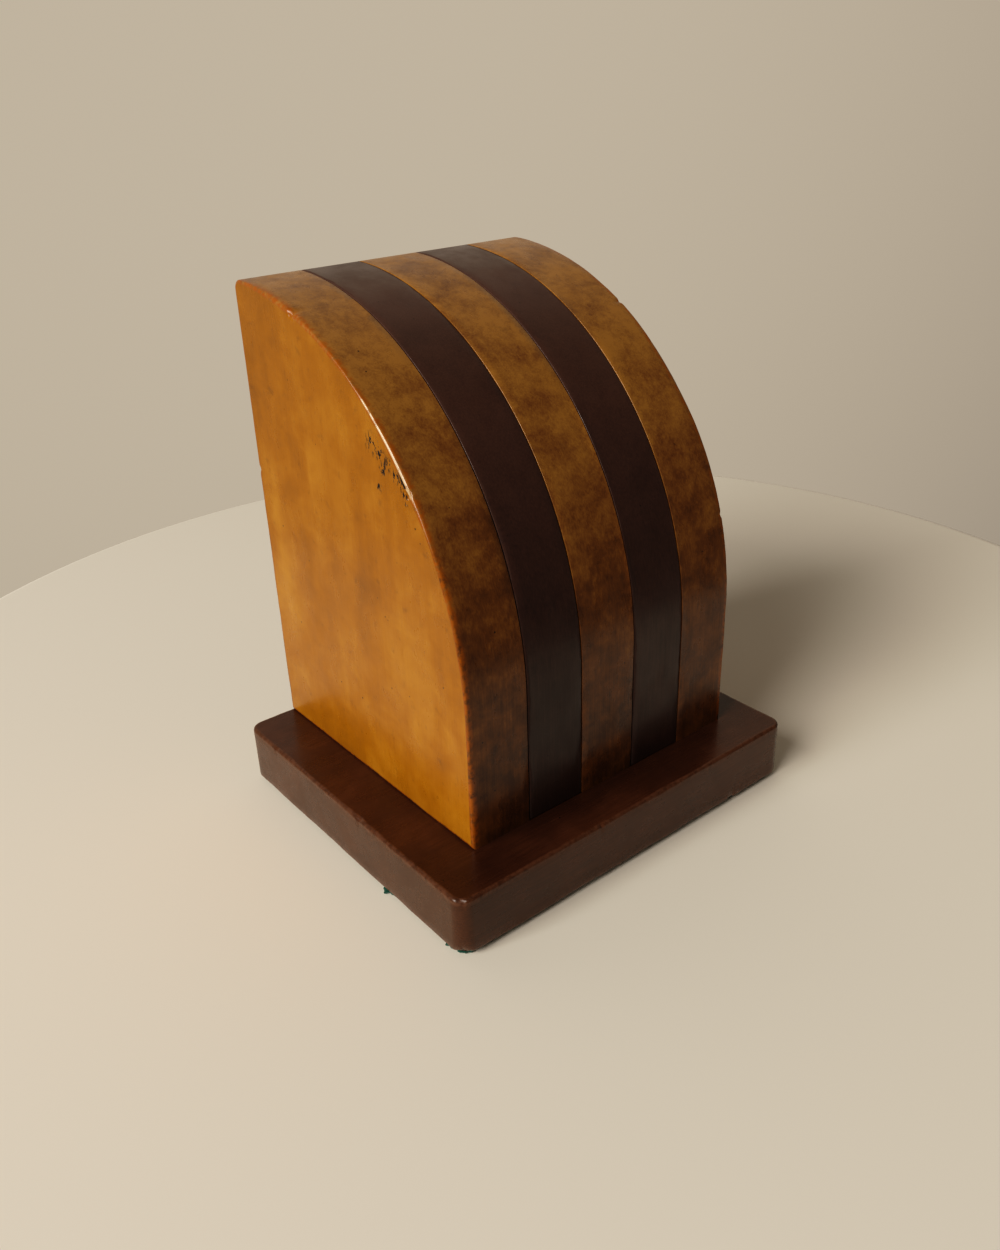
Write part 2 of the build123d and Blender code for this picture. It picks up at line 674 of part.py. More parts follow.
def thumb_bolt():
    """The flat bolt and its stem."""
    x = RIGHT * X_SLIDE
    z1 = Z_BOLT + BOLT_L
    body = block(x - BOLT_W / 2, x + BOLT_W / 2, Y_BOLT, Y_BOLT + BOLT_T,
                 z1 - THUMB_BOLT_L, z1)
    body = fillet(body.edges().group_by(Axis.Z)[-1].filter_by(Axis.Y), BOLT_CORNER)
    return body + rod_y(x, Y_HARDWARE, Y_BOLT, Z_THUMB, SHANK_R)


def thumb_knob():
    """The ribbed button on the stem."""
    x = RIGHT * X_SLIDE
    y0 = Y_HARDWARE - THUMB_T
    body = rod_y(x, y0, Y_HARDWARE, Z_THUMB, THUMB_R)
    body = fillet(body.edges(), THUMB_EDGE)
    for step in range(RIB_COUNT):
        z = Z_THUMB + (step - (RIB_COUNT - 1) / 2) * RIB_PITCH
        body -= block(x - THUMB_R, x + THUMB_R, y0 - PAST, y0 + RIB_DEPTH, z - RIB_W / 2,
                      z + RIB_W / 2)
    return body


# ---------------------------------------------------------------------------
# Escutcheons
# ---------------------------------------------------------------------------

def plate(side):
    """A brass plate on the front of the wall, with rounded corners."""
    x = side * X_SLIDE
    body = block(x - PLATE_W / 2, x + PLATE_W / 2, Y_WALL - PLATE_T, Y_WALL, Z_PLATE,
                 Z_PLATE + PLATE_H)
    body = fillet(body.edges().filter_by(Axis.Y), PLATE_CORNER)
    for hole in plate_pins():
        body -= hole
    return body


def key_plate():
    """The escutcheon round the key."""
    return plate(LEFT) - rod_y(LEFT * X_SLIDE, Y_WALL - PLATE_T, Y_WALL, Z_KEY,
                               SHANK_R + STEM_FIT)


def thumb_plate():
    """The slotted plate round the thumb bolt's stem."""
    return plate(RIGHT) - thumb_slot(Y_WALL - PLATE_T, Y_WALL)


def plate_pins():
    """Brass pins at the top and bottom of both plates."""
    places = [(side * X_SLIDE, z) for side in (LEFT, RIGHT)
              for z in (Z_PLATE + PIN_IN, Z_PLATE + PLATE_H - PIN_IN)]
    return [rod_y(x, Y_WALL - PLATE_T, Y_WALL + PIN_IN_WOOD, z, SMALL_SCREW_R)
            for x, z in places]


# ---------------------------------------------------------------------------
# Drawer
# ---------------------------------------------------------------------------

def drawer_slat(x0, x1):
    """One upright strip of the drawer's front, in line with a lamination."""
    return block(x0, x1, Y_SLATS, Y_BACK, Z_DRAWER, Z_DRAWER_TOP)


def drawer_side(side):
    """A side of the drawer."""
    return block(side * X_DRAWER, side * (X_DRAWER - SIDE_T), Y_FLOOR, Y_SLATS, Z_DRAWER,
                 Z_DRAWER_TOP)


def drawer_end():
    """The inner end of the drawer, which carries both staples."""
    body = block(-X_DRAWER, X_DRAWER, Y_END, Y_FLOOR, Z_DRAWER, Z_DRAWER_TOP)
    for hole in staple_screws(filled) + [staple(LEFT), staple(RIGHT)]:
        body -= hole
    return body


def drawer_bottom():
    """The bottom of the drawer, grooved underneath for the stop pin, which meets its inner end."""
    x = X_DRAWER - SIDE_T
    body = block(-x, x, Y_FLOOR, Y_SLATS, Z_DRAWER, Z_FLOOR)
    half = STOP_R + FIT
    return body - block(-half, half, Y_FLOOR, Y_SLATS, Z_DRAWER, Z_DRAWER + GROOVE_DEPTH)


def drawer_lining():
    """The cloth on the drawer's floor."""
    x = X_DRAWER - SIDE_T - LINING_GAP
    return block(-x, x, Y_FLOOR + LINING_GAP, Y_SLATS - LINING_GAP, Z_FLOOR,
                 Z_FLOOR + LINING_T)


def staple(side):
    """A brass wire staple in the drawer's inner end, for a bolt to pass through."""
    x0 = side * X_SLIDE - X_STAPLE_LEG
    x1 = side * X_SLIDE + X_STAPLE_LEG
    y_tip = Y_END + STAPLE_IN_WOOD
    bar = rod_x(x0, x1, Y_STAPLE_BAR, Z_STAPLE, STAPLE_WIRE_R)
    for x in (x0, x1):
        bar += rod_y(x, Y_STAPLE_BAR, y_tip, Z_STAPLE, STAPLE_WIRE_R)
        bar += Pos(BLOCK_SHIFT + x, Y_STAPLE_BAR, Z_STAPLE) * Sphere(STAPLE_WIRE_R)
    return bar


def staple_plate(side):
    """The plate round the legs of a staple."""
    reach = X_STAPLE_LEG + STAPLE_WIRE_R + STAPLE_PLATE_EDGE
    x = side * X_SLIDE
    body = block(x - reach, x + reach, Y_END - STAPLE_PLATE_T, Y_END, Z_STAPLE_PLATE,
                 Z_STAPLE_PLATE + STAPLE_PLATE_H)
    body = fillet(body.edges().filter_by(Axis.Y), STAPLE_PLATE_CORNER)
    for hole in staple_screws(filled) + [staple(side)]:
        body -= hole
    return body


def staple_screws(shape):
    """Two screws through each staple plate into the drawer's end."""
    z = Z_STAPLE_PLATE + STAPLE_PLATE_H - STAPLE_SCREW_DROP
    places = [side * X_SLIDE + dx for side in (LEFT, RIGHT)
              for dx in (-STAPLE_SCREW_X, STAPLE_SCREW_X)]
    return [Pos(BLOCK_SHIFT + x, Y_END - STAPLE_PLATE_T, z) * HEAD_FRONT
            * shape(STAPLE_SCREW_L, SMALL_SCREW_R, SMALL_HEAD_R) for x in places]


def drawer_stop():
    """The pin in the plinth that stops the drawer."""
    return rod_z(0, Y_STOP, Z_BASE - STOP_IN_PLINTH, Z_BASE + STOP_H, STOP_R)


# ---------------------------------------------------------------------------
# Springs and catches
# ---------------------------------------------------------------------------

def ejector_leaf():
    """A sprung strip on the wall that nudges the unlocked drawer out."""
    y_foot = Y_INNER + EJECTOR_T / 2
    y_bend = Y_END - EJECTOR_GAP
    z_foot = Z_EJECTOR - EJECTOR_FOOT
    z_bend = z_foot - EJECTOR_REACH
    path = FilletPolyline((y_foot, Z_EJECTOR), (y_foot, z_foot), (y_bend, z_bend),
                          (y_bend - EJECTOR_HOOK, z_bend - EJECTOR_TIP), radius=EJECTOR_BEND_R)
    strip = extrude(Plane.YZ * trace(path, EJECTOR_T), EJECTOR_W)
    body = Pos(BLOCK_SHIFT - EJECTOR_W / 2, 0, 0) * strip
    for hole in ejector_screws(True):
        body -= hole
    return body


def ejector_screws(as_holes):
    """Two domed screws in the foot of the ejector leaf."""
    pieces = []
    z = Z_EJECTOR - EJECTOR_SCREW_DROP
    for dx in (-EJECTOR_SCREW_X, EJECTOR_SCREW_X):
        place = Pos(BLOCK_SHIFT + dx, Y_INNER + EJECTOR_T, z) * HEAD_BACK
        if as_holes:
            shank = Pos(0, 0, -EJECTOR_SCREW_L / 2) * Cylinder(SMALL_SCREW_R, EJECTOR_SCREW_L)
            pieces.append(place * shank)
        else:
            pieces.append(place * round_head(EJECTOR_SCREW_L, SMALL_SCREW_R, SMALL_HEAD_R,
                                             SMALL_HEAD_T))
    return pieces


def catch_barrel(side):
    """A brass barrel let into a cheek."""
    outer = side * (X_CHEEK + BARREL_L)
    body = rod_x(side * X_CHEEK, outer, Y_CATCH, Z_CATCH, BARREL_R)
    return body - rod_x(side * X_CHEEK, outer - side * BARREL_END_T, Y_CATCH, Z_CATCH,
                        BARREL_BORE_R)


def catch_spring(side):
    """A coil spring behind the ball."""
    start = X_CHEEK + 2 * BALL_R - BALL_PROUD + SPRING_WIRE_R
    length = X_CHEEK + BARREL_L - BARREL_END_T - SPRING_WIRE_R - start
    radius = BARREL_BORE_R - SPRING_WIRE_R - SPRING_FIT
    coil = Helix(length / SPRING_TURNS, length, radius)
    wire = sweep(Plane(coil @ 0, z_dir=coil % 0) * Circle(SPRING_WIRE_R), path=coil, is_frenet=True)
    return Pos(BLOCK_SHIFT + side * start, Y_CATCH, Z_CATCH) * Rot(0, 90 * side, 0) * wire


# ---------------------------------------------------------------------------
# Every node
# ---------------------------------------------------------------------------

NODES = {
    "plinth": plinth(),
    "plinth_baize": plinth_baize(),
    "left_cheek": cheek(LEFT),
    "right_cheek": cheek(RIGHT),
    "centre_slab": centre_slab(),
    "core_wall": core_wall(),
    "core_board": core_board(),
    "cheek_dowels": group(cheek_dowels()),
    "centre_dowels": group(centre_dowels()),
    "plinth_screws": group(plinth_screws(countersunk)),
    "lock_case": lock_case(),
    "lock_cover": lock_cover(),
    "lock_cam": lock_cam(),
    "lock_bolt": lock_bolt(),
    "bolt_leaf": bolt_leaf(),
    "key": key(),
    "thumb_case": lock_box(RIGHT),
    "thumb_cover": thumb_cover(),
    "thumb_bolt": thumb_bolt(),
    "thumb_knob": thumb_knob(),
    "lock_screws": group(lock_screws(countersunk)),
    "key_plate": key_plate(),
    "thumb_plate": thumb_plate(),
    "plate_pins": group(plate_pins()),
    "drawer_front_left": drawer_slat(-X_DRAWER, -X_CENTRE),
    "drawer_front_centre": drawer_slat(-X_CENTRE, X_CENTRE),
    "drawer_front_right": drawer_slat(X_CENTRE, X_DRAWER),
    "drawer_left_side": drawer_side(LEFT),
    "drawer_right_side": drawer_side(RIGHT),
    "drawer_end": drawer_end(),
    "drawer_bottom": drawer_bottom(),
    "drawer_lining": drawer_lining(),
    "key_staple": staple(LEFT),
    "thumb_staple": staple(RIGHT),
    "staple_plates": group([staple_plate(LEFT), staple_plate(RIGHT)]),
    "staple_screws": group(staple_screws(countersunk)),
    "drawer_stop": drawer_stop(),
    "ejector_leaf": ejector_leaf(),
    "ejector_screws": group(ejector_screws(False)),
    "catch_barrels": group([catch_barrel(LEFT), catch_barrel(RIGHT)]),
    "catch_balls": group([catch_centre(side) * Sphere(BALL_R) for side in (LEFT, RIGHT)]),
    "catch_springs": group([catch_spring(LEFT), catch_spring(RIGHT)]),
}

for name, side in (("left", LEFT), ("right", RIGHT)):
    NODES[name + "_slide"] = slide(side)
    NODES[name + "_slide_neck"] = slide_neck(side)
    NODES[name + "_keeper"] = keeper_plate(side)
    NODES[name + "_keeper_screws"] = group(keeper_screws(side, countersunk))

os.makedirs("parts", exist_ok=True)
for name, shape in NODES.items():
    export_step(shape, "parts/" + name + ".step")

print("slides lift", round(SLIDE_TRAVEL, 2), "drawer opens", round(DRAWER_TRAVEL, 2))
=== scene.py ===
import json
import math

import bmesh
import bpy
from mathutils import Matrix, Vector, noise


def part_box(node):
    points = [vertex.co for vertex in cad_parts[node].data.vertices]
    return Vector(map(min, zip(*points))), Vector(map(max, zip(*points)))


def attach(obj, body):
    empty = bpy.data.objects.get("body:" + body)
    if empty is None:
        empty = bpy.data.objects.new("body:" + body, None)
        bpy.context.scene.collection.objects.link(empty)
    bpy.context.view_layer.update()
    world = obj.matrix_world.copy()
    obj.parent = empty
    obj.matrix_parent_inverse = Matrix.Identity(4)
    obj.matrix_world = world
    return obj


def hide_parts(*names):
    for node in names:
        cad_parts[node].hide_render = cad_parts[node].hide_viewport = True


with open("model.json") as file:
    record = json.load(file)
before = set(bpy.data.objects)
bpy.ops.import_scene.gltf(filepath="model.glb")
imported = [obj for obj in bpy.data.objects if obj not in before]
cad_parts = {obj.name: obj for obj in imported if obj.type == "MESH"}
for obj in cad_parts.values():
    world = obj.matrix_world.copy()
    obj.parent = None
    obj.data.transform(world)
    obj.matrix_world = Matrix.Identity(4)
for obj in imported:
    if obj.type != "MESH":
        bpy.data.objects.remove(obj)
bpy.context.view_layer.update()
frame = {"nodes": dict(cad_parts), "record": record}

MM = 0.001

# ---------------------------------------------------------------------------
# Camera: the place and the angles of the lens, in the part's own frame
# ---------------------------------------------------------------------------

CAMERA_PLACE = (-150.6, -187.3, 169.4)      # mm
CAMERA_AZIMUTH = -38.2                      # degrees, 0 looks along +Y
CAMERA_ELEVATION = 27.45
CAMERA_ROLL = -2.0
CAMERA_LENS = 31.7                          # mm on a 36 mm sensor


def make_camera():
    """The camera, turned about Z, then tipped, then rolled."""
    data = bpy.data.cameras.new("camera")
    data.lens = CAMERA_LENS
    data.sensor_width = 36.0
    data.clip_start = 0.01
    turn = Matrix.Rotation(math.radians(CAMERA_AZIMUTH), 4, "Z")
    tip = Matrix.Rotation(math.radians(90 - CAMERA_ELEVATION), 4, "X")
    roll = Matrix.Rotation(math.radians(CAMERA_ROLL), 4, "Z")
    camera = bpy.data.objects.new("camera", data)
    bpy.context.collection.objects.link(camera)
    camera.matrix_world = Matrix.Translation(Vector(CAMERA_PLACE) * MM) @ turn @ tip @ roll
    bpy.context.scene.camera = camera


# ---------------------------------------------------------------------------
# Sizes read from the frame, in mm
# ---------------------------------------------------------------------------

def mm_box(node):
    """The lowest and highest corner of a CAD node, in mm."""
    low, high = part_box(node)
    return Vector(low) / MM, Vector(high) / MM


CHEEK_LOW, CHEEK_HIGH = mm_box("left_cheek")
BOARD_LOW, BOARD_HIGH = mm_box("core_board")
WALL_LOW = mm_box("core_wall")[0]
PLINTH_LOW, PLINTH_HIGH = mm_box("plinth")
Y_FRONT, Y_BACK = CHEEK_LOW.y, CHEEK_HIGH.y
Z_FOOT = CHEEK_LOW.z
RADIUS = Y_BACK - Y_FRONT
FACET_LOSS = 0.015         # how far the CAD's faceted arc falls short of the true one
Z_ARC = CHEEK_HIGH.z - RADIUS + FACET_LOSS
CORNER_ROUND = 2.2         # where the top meets the back


# ---------------------------------------------------------------------------
# Outlines: dense closed loops of 2D points, built from lines and arcs
# ---------------------------------------------------------------------------

FINE_STEP = 0.3            # mm between points near a mark
COARSE_STEP = 1.5          # mm between points elsewhere
FINE_REACH = 3.5           # mm round a mark
CORNER_CLEAR = 1.4         # mm kept free of points beside a sharp corner
CORNER_TURN = 40           # degrees, from which a turn is a sharp corner
ARC_TURN = 4               # degrees, from which it is part of a tight arc


def line_points(start, end):
    """Points along a straight run, without its end."""
    a, b = Vector(start), Vector(end)
    count = max(1, round((b - a).length / FINE_STEP))
    return [a.lerp(b, i / count) for i in range(count)]


def arc_points(centre, radius, start, end):
    """Points along an arc between two angles in degrees, without its end."""
    sweep = math.radians(end - start)
    count = max(3, round(abs(sweep) * radius / FINE_STEP))
    angles = [math.radians(start) + sweep * i / count for i in range(count)]
    return [Vector((centre[0] + radius * math.cos(a), centre[1] + radius * math.sin(a)))
            for a in angles]


def turn_at(points, i):
    """How sharply the outline turns at one point, in degrees."""
    before = points[i] - points[i - 1]
    after = points[(i + 1) % len(points)] - points[i]
    return math.degrees(before.angle(after, 0.0))


def thin_out(points, marks):
    """Keeps corners and tight arcs, and elsewhere leaves points only as close as is needed.

    A sharp corner stands alone, so that a loop inset from it doesn't cross itself."""
    sharp = [p for i, p in enumerate(points) if turn_at(points, i) > CORNER_TURN]
    kept = []
    last = None
    for i, point in enumerate(points):
        near = any((point - mark).length < FINE_REACH for mark in marks)
        step = FINE_STEP if near else COARSE_STEP
        beside = any(0 < (point - corner).length < CORNER_CLEAR for corner in sharp)
        turning = turn_at(points, i) > ARC_TURN
        if not beside and (turning or last is None or (point - last).length >= step):
            kept.append(point)
            last = point
    return kept


def rounded_rectangle(low, high, corner):
    """A closed loop round a rectangle, anticlockwise, with round corners."""
    (u0, v0), (u1, v1) = low, high
    c = corner
    points = line_points((u0 + c, v0), (u1 - c, v0)) + arc_points((u1 - c, v0 + c), c, -90, 0)
    points += line_points((u1, v0 + c), (u1, v1 - c)) + arc_points((u1 - c, v1 - c), c, 0, 90)
    points += line_points((u1 - c, v1), (u0 + c, v1)) + arc_points((u0 + c, v1 - c), c, 90, 180)
    points += line_points((u0, v1 - c), (u0, v0 + c)) + arc_points((u0 + c, v0 + c), c, 180, 270)
    return points


def quarter_outline(foot, inner=()):
    """The side view of a lamination, clockwise: up the front, over the arc, down the back."""
    rise = math.sqrt((RADIUS - CORNER_ROUND) ** 2 - CORNER_ROUND ** 2)
    meet = math.degrees(math.atan2(rise, -CORNER_ROUND))
    points = line_points((Y_FRONT, foot), (Y_FRONT, Z_ARC))
    points += arc_points((Y_BACK, Z_ARC), RADIUS, 180, meet)
    points += arc_points((Y_BACK - CORNER_ROUND, Z_ARC + rise), CORNER_ROUND, meet, 0)
    corners = [(Y_BACK, Z_ARC + rise)] + list(inner) + [(Y_FRONT, foot)]
    if not inner:
        corners.insert(1, (Y_BACK, foot))
    for start, end in zip(corners, corners[1:]):
        points += line_points(start, end)
    return points


# ---------------------------------------------------------------------------
# Boards: an outline carried along an axis, with worn arrises and shallow waves
# ---------------------------------------------------------------------------

ARRIS_STEPS = 5            # columns round each arris
RINGS = ((0.9, 0.0), (0.5, 0.3), (0.2, 0.6))    # mm past an arris, and how worn it is there
TIGHT_INSET = 1.3          # mm, the most that a loop is inset inside a tight arc
FREE_INSET = 9.0           # mm, the most elsewhere
COLUMN_STEP = 2.0          # mm between columns across the outer face
RIPPLE_SIZE = 23.0         # mm, length of the shallow waves
SHARP_ANGLE = 32           # degrees, from which an edge is shaded sharp


def wave(point, size, seed):
    """Smooth noise from -1 to 1 at a point, with features of about that size in mm."""
    return noise.noise(Vector(point) / size + Vector((seed * 7.1, seed * 3.3, seed * 5.7)))


def mitres(points):
    """The outward offset of each point of a loop, for an inset of 1."""
    area = sum(a.x * b.y - b.x * a.y for a, b in zip(points, points[1:] + points[:1]))
    sign = 1 if area > 0 else -1
    result = []
    for i, point in enumerate(points):
        before = (point - points[i - 1]).normalized()
        after = (points[(i + 1) % len(points)] - point).normalized()
        n0 = Vector((before.y, -before.x)) * sign
        n1 = Vector((after.y, -after.x)) * sign
        result.append((n0 + n1) / max(0.3, 1 + n0.dot(n1)))
    return result


def profile_columns(low, high, r_low, r_high):
    """The (place along the axis, inset, wear) of each column across the outer face."""
    columns = []
    for i in range(ARRIS_STEPS):
        a = math.radians(90 * i / (ARRIS_STEPS - 1))
        columns.append((low + r_low * (1 - math.cos(a)), r_low * (1 - math.sin(a)), 1.0))
    count = max(2, round((high - low) / COLUMN_STEP))
    for i in range(1, count):
        place = low + r_low + (high - low - r_low - r_high) * i / count
        columns.append((place, 0.0, 0.0))
    for i in reversed(range(ARRIS_STEPS)):
        a = math.radians(90 * i / (ARRIS_STEPS - 1))
        columns.append((high - r_high * (1 - math.cos(a)), r_high * (1 - math.sin(a)), 1.0))
    return columns


def board_mesh(name, loop, low, high, place, arris, ripple=0.0, dents=(), end_rim=0.0,
               seed=1):
    """A board: the loop of 2D points is carried from low to high along a third axis.

    place turns (u, v, w) into x, y, z. arris gives the radius of the worn edge at a point
    and an end. dents are (centre, radius, depth) in mm. end_rim is how much its ends look
    like its rim."""
    offsets = mitres(loop)
    limits = [TIGHT_INSET if ARC_TURN < turn_at(loop, i) < CORNER_TURN else FREE_INSET
              for i in range(len(loop))]
    bm = bmesh.new()
    wear = bm.verts.layers.float.new("wear")
    rim = bm.verts.layers.float.new("rim")
    rows = []
    middle = (low + high) / 2
    for point, offset, limit in zip(loop, offsets, limits):
        r_low, r_high = arris(point, 0), arris(point, 1)
        columns = profile_columns(low, high, r_low, r_high)
        front = [(low, r_low + extra, worn) for extra, worn in RINGS]
        back = [(high, r_high + extra, worn) for extra, worn in reversed(RINGS)]
        last = len(front + columns + back) - 1
        row = []
        for k, (w, inset, worn) in enumerate(front + columns + back):
            uv = point - offset * min(inset, limit)
            spot = place(uv.x, uv.y, w)
            on_rim = len(front) <= k < len(front) + len(columns)
            if on_rim and inset == 0.0:
                push = ripple * wave(spot, RIPPLE_SIZE, seed)
                uv = uv + offset * push
                spot = place(uv.x, uv.y, w)
            if 0 < k < last:
                spot = dented(spot, dents, place, offset, w, low, high)
            vert = bm.verts.new(spot)
            vert[wear] = worn * min(1.0, (r_low if w < middle else r_high) / OUTER_ARRIS)
            vert[rim] = 1.0 if on_rim else end_rim
            row.append(vert)
        rows.append(row)
    for row, following in zip(rows, rows[1:] + rows[:1]):
        for k in range(len(row) - 1):
            bm.faces.new((row[k], row[k + 1], following[k + 1], following[k]))
    bm.faces.new([row[0] for row in rows])
    bm.faces.new([row[-1] for row in reversed(rows)])
    bmesh.ops.recalc_face_normals(bm, faces=bm.faces)
    for vert in bm.verts:
        vert.co *= MM
    return mesh_object(name, bm)


def dented(spot, dents, place, offset, w, low, high):
    """A point, moved in where a dent lies."""
    middle = 1 if w < (low + high) / 2 else -1
    inward = (place(-offset.x, -offset.y, middle) - place(0, 0, 0)).normalized()
    for centre, radius, depth in dents:
        distance = (spot - Vector(centre)).length
        if distance < radius:
            fall = (1 - (distance / radius) ** 2) ** 2
            rough = 0.75 + 0.5 * wave(spot, 0.6, 4)
            spot = spot + inward * depth * fall * rough
    return spot


def mesh_object(name, bm, angle=SHARP_ANGLE):
    """A new object from a bmesh, smooth but for its sharp edges and its flat ends."""
    mesh = bpy.data.meshes.new(name)
    bm.to_mesh(mesh)
    bm.free()
    mesh.set_sharp_from_angle(angle=math.radians(angle))
    mesh.polygons.foreach_set("use_smooth", [len(p.vertices) <= 4 for p in mesh.polygons])
    obj = bpy.data.objects.new(name, mesh)
    bpy.context.collection.objects.link(obj)
    return obj


def cut(obj, cutter):
    """Cuts one mesh out of another, and removes the cutter."""
    modifier = obj.modifiers.new("cut", "BOOLEAN")
    modifier.operation = "DIFFERENCE"
    modifier.solver = "EXACT"
    modifier.object = cutter
    bpy.context.view_layer.update()
    graph = bpy.context.evaluated_depsgraph_get()
    mesh = bpy.data.meshes.new_from_object(obj.evaluated_get(graph))
    obj.modifiers.clear()
    obj.data = mesh
    mesh.set_sharp_from_angle(angle=math.radians(SHARP_ANGLE))
    bpy.data.objects.remove(cutter)


def block_object(low, high):
    """A plain box, used only to cut with."""
    bm = bmesh.new()
    bmesh.ops.create_cube(bm, size=1.0)
    for vert in bm.verts:
        for axis in range(3):
            vert.co[axis] = (high[axis] if vert.co[axis] > 0 else low[axis]) * MM
    return mesh_object("cutter", bm)


def rod_object(start, end, radius):
    """A plain round bar along X, used only to cut with."""
    bm = bmesh.new()
    turn = Matrix.Rotation(math.radians(90), 4, "Y")
    middle = Matrix.Translation((Vector(start) + Vector(end)) / 2 * MM)
    bmesh.ops.create_cone(bm, cap_ends=True, segments=32, radius1=radius * MM,
                          radius2=radius * MM, depth=abs(end[0] - start[0]) * MM,
                          matrix=middle @ turn)
    return mesh_object("cutter", bm)


def across(u, v, w):
    """Outline in the YZ plane, carried along X."""
    return Vector((w, u, v))


def upright(u, v, w):
    """Outline in the XY plane, carried along Z."""
    return Vector((u, v, w))


def facing_back(u, v, w):
    """Outline in the XZ plane, carried along Y."""
    return Vector((u, w, v))


# ---------------------------------------------------------------------------
# Laminations
# ---------------------------------------------------------------------------

JOINT_ARRIS = 0.14         # mm, where laminations meet
SLIDE_ARRIS = 0.26         # mm, on the two that lift
OUTER_ARRIS = 0.55         # mm, on the outside of the cheeks
INNER_ARRIS = 0.2          # mm, on hidden edges
WEAR_SPAN = 9.0            # mm, length of a rubbed stretch
GROOVE_DEPTH = 0.55        # mm, for the catches' balls
DIMPLE_DEPTH = 0.4         # mm, below the groove
DIMPLE_R = 1.0             # mm
CHANNEL_SPARE = 0.4        # mm beside each lock plate, as in the CAD
CHANNEL_D = 11.0           # mm, from the core wall forwards
CHANNEL_H = 21.0           # mm, from the plinth upwards
PAST = 1.0                 # mm, how far a cut runs past the face that it opens
LIFT = next(j for j in frame["record"]["behaviour"]["joints"] if j["name"] == "left_slide_lift")


def worn(base, x, rubbed, seed):
    """The radius of an arris, a little uneven, and larger where it is rubbed."""
    def radius(point, end):
        size = base[end] * (1 + 0.35 * wave((x[end], point.x, point.y), 11.0, seed))
        size *= 1 + 0.2 * wave((x[end], point.x, point.y), 2.6, seed + 3)
        for place, which, extra in rubbed:
            if which == end:
                size += extra * math.exp(-((point - place).length / WEAR_SPAN) ** 2)
        return size
    return radius


def lamination(node, low_arris, high_arris, rubbed=(), dents=(), inner=(), seed=1):
    """One lamination, in the place of its CAD node."""
    low, high = mm_box(node)
    marks = [Vector((d[0][1], d[0][2])) for d in dents]
    loop = thin_out(quarter_outline(low.z, inner), marks)
    arris = worn((low_arris, high_arris), (low.x, high.x), rubbed, seed)
    piece = board_mesh("wood_" + node, loop, low.x, high.x, across, arris,
                       ripple=0.05, dents=dents, seed=9)
    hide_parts(node)
    return piece


def core_notch(gap, foot):
    """The inner corners of a lamination bent round the core, from the back down to its foot."""
    lip = BOARD_HIGH.y + gap
    wall = WALL_LOW.y - gap
    top = BOARD_HIGH.z + gap
    return [(Y_BACK, BOARD_LOW.z), (lip, BOARD_LOW.z), (lip, top), (wall, top), (wall, foot)]


def make_laminations():
    """The two cheeks, the fixed centre and the two that lift."""
    x_out = CHEEK_LOW.x
    arc_dents = [((x_out, 21.0, 123.0), 2.1, 0.75), ((x_out, 19.4, 122.5), 1.0, 0.4),
                 ((x_out, -3.2, 107.6), 1.2, 0.45), ((x_out, -17.6, 93.4), 1.5, 0.6),
                 ((x_out, -10.4, 101.3), 0.9, 0.35), ((x_out, -33.5, 38.0), 0.9, 0.3),
                 ((x_out, -31.9, 64.0), 0.8, 0.25), ((x_out, 45.5, 83.0), 1.1, 0.4)]
    rubbed = [(Vector((-8.0, 103.0)), 0, 0.22), (Vector((-16.0, 96.0)), 0, 0.18),
              (Vector((30.0, 125.5)), 0, 0.3), (Vector((-33.5, 20.0)), 0, 0.25)]
    pieces = {}
    pieces["left_cheek"] = lamination("left_cheek", OUTER_ARRIS, JOINT_ARRIS, rubbed,
                                      arc_dents, seed=2)
    x_right = mm_box("right_cheek")[1].x
    right_dents = [((x_right, 5.0, 115.8), 1.2, 0.4), ((x_right, -30.0, 71.0), 1.0, 0.35)]
    pieces["right_cheek"] = lamination("right_cheek", JOINT_ARRIS, OUTER_ARRIS,
                                       [(Vector((-12.0, 102.0)), 1, 0.4)], right_dents, seed=3)
    centre_low = mm_box("centre_slab")[0]
    pieces["centre_slab"] = lamination("centre_slab", JOINT_ARRIS, JOINT_ARRIS,
                                       inner=core_notch(0.0, centre_low.z), seed=4)
    for seed, side in enumerate(("left", "right")):
        node = side + "_slide"
        low, high = mm_box(node)
        gap = WALL_LOW.y - mm_box(side + "_slide_neck")[0].y
        piece = lamination(node, SLIDE_ARRIS, SLIDE_ARRIS,
                           inner=core_notch(gap, low.z), seed=5 + seed)
        plate_low, plate_high = mm_box("key_plate" if side == "left" else "thumb_plate")
        channel_low = (plate_low.x - CHANNEL_SPARE, WALL_LOW.y - CHANNEL_D, low.z - PAST)
        channel_high = (plate_high.x + CHANNEL_SPARE, WALL_LOW.y + PAST, Z_FOOT + CHANNEL_H)
        cut(piece, block_object(channel_low, channel_high))
        cut_catch(piece, low.x if side == "left" else high.x)
        pieces[node] = piece
    return pieces


def cut_catch(piece, x_face):
    """The groove that a catch's ball runs in, with a rest hole at each end."""
    ball_low, ball_high = mm_box("catch_balls")
    y, z = (ball_low.y + ball_high.y) / 2, (ball_low.z + ball_high.z) / 2
    radius = (ball_high.y - ball_low.y) / 2
    inward = 1 if x_face < 0 else -1
    travel = LIFT["range_m"][1] / MM
    x0, x1 = sorted((x_face - inward, x_face + inward * GROOVE_DEPTH))
    cut(piece, block_object((x0, y - radius, z - travel), (x1, y + radius, z)))
    for height in (z, z - travel):
        cut(piece, rod_object((x0, y, height), (x1, y, height), radius))
        end = x_face + inward * (GROOVE_DEPTH + DIMPLE_DEPTH)
        cut(piece, rod_object((x_face, y, height), (end, y, height), DIMPLE_R))


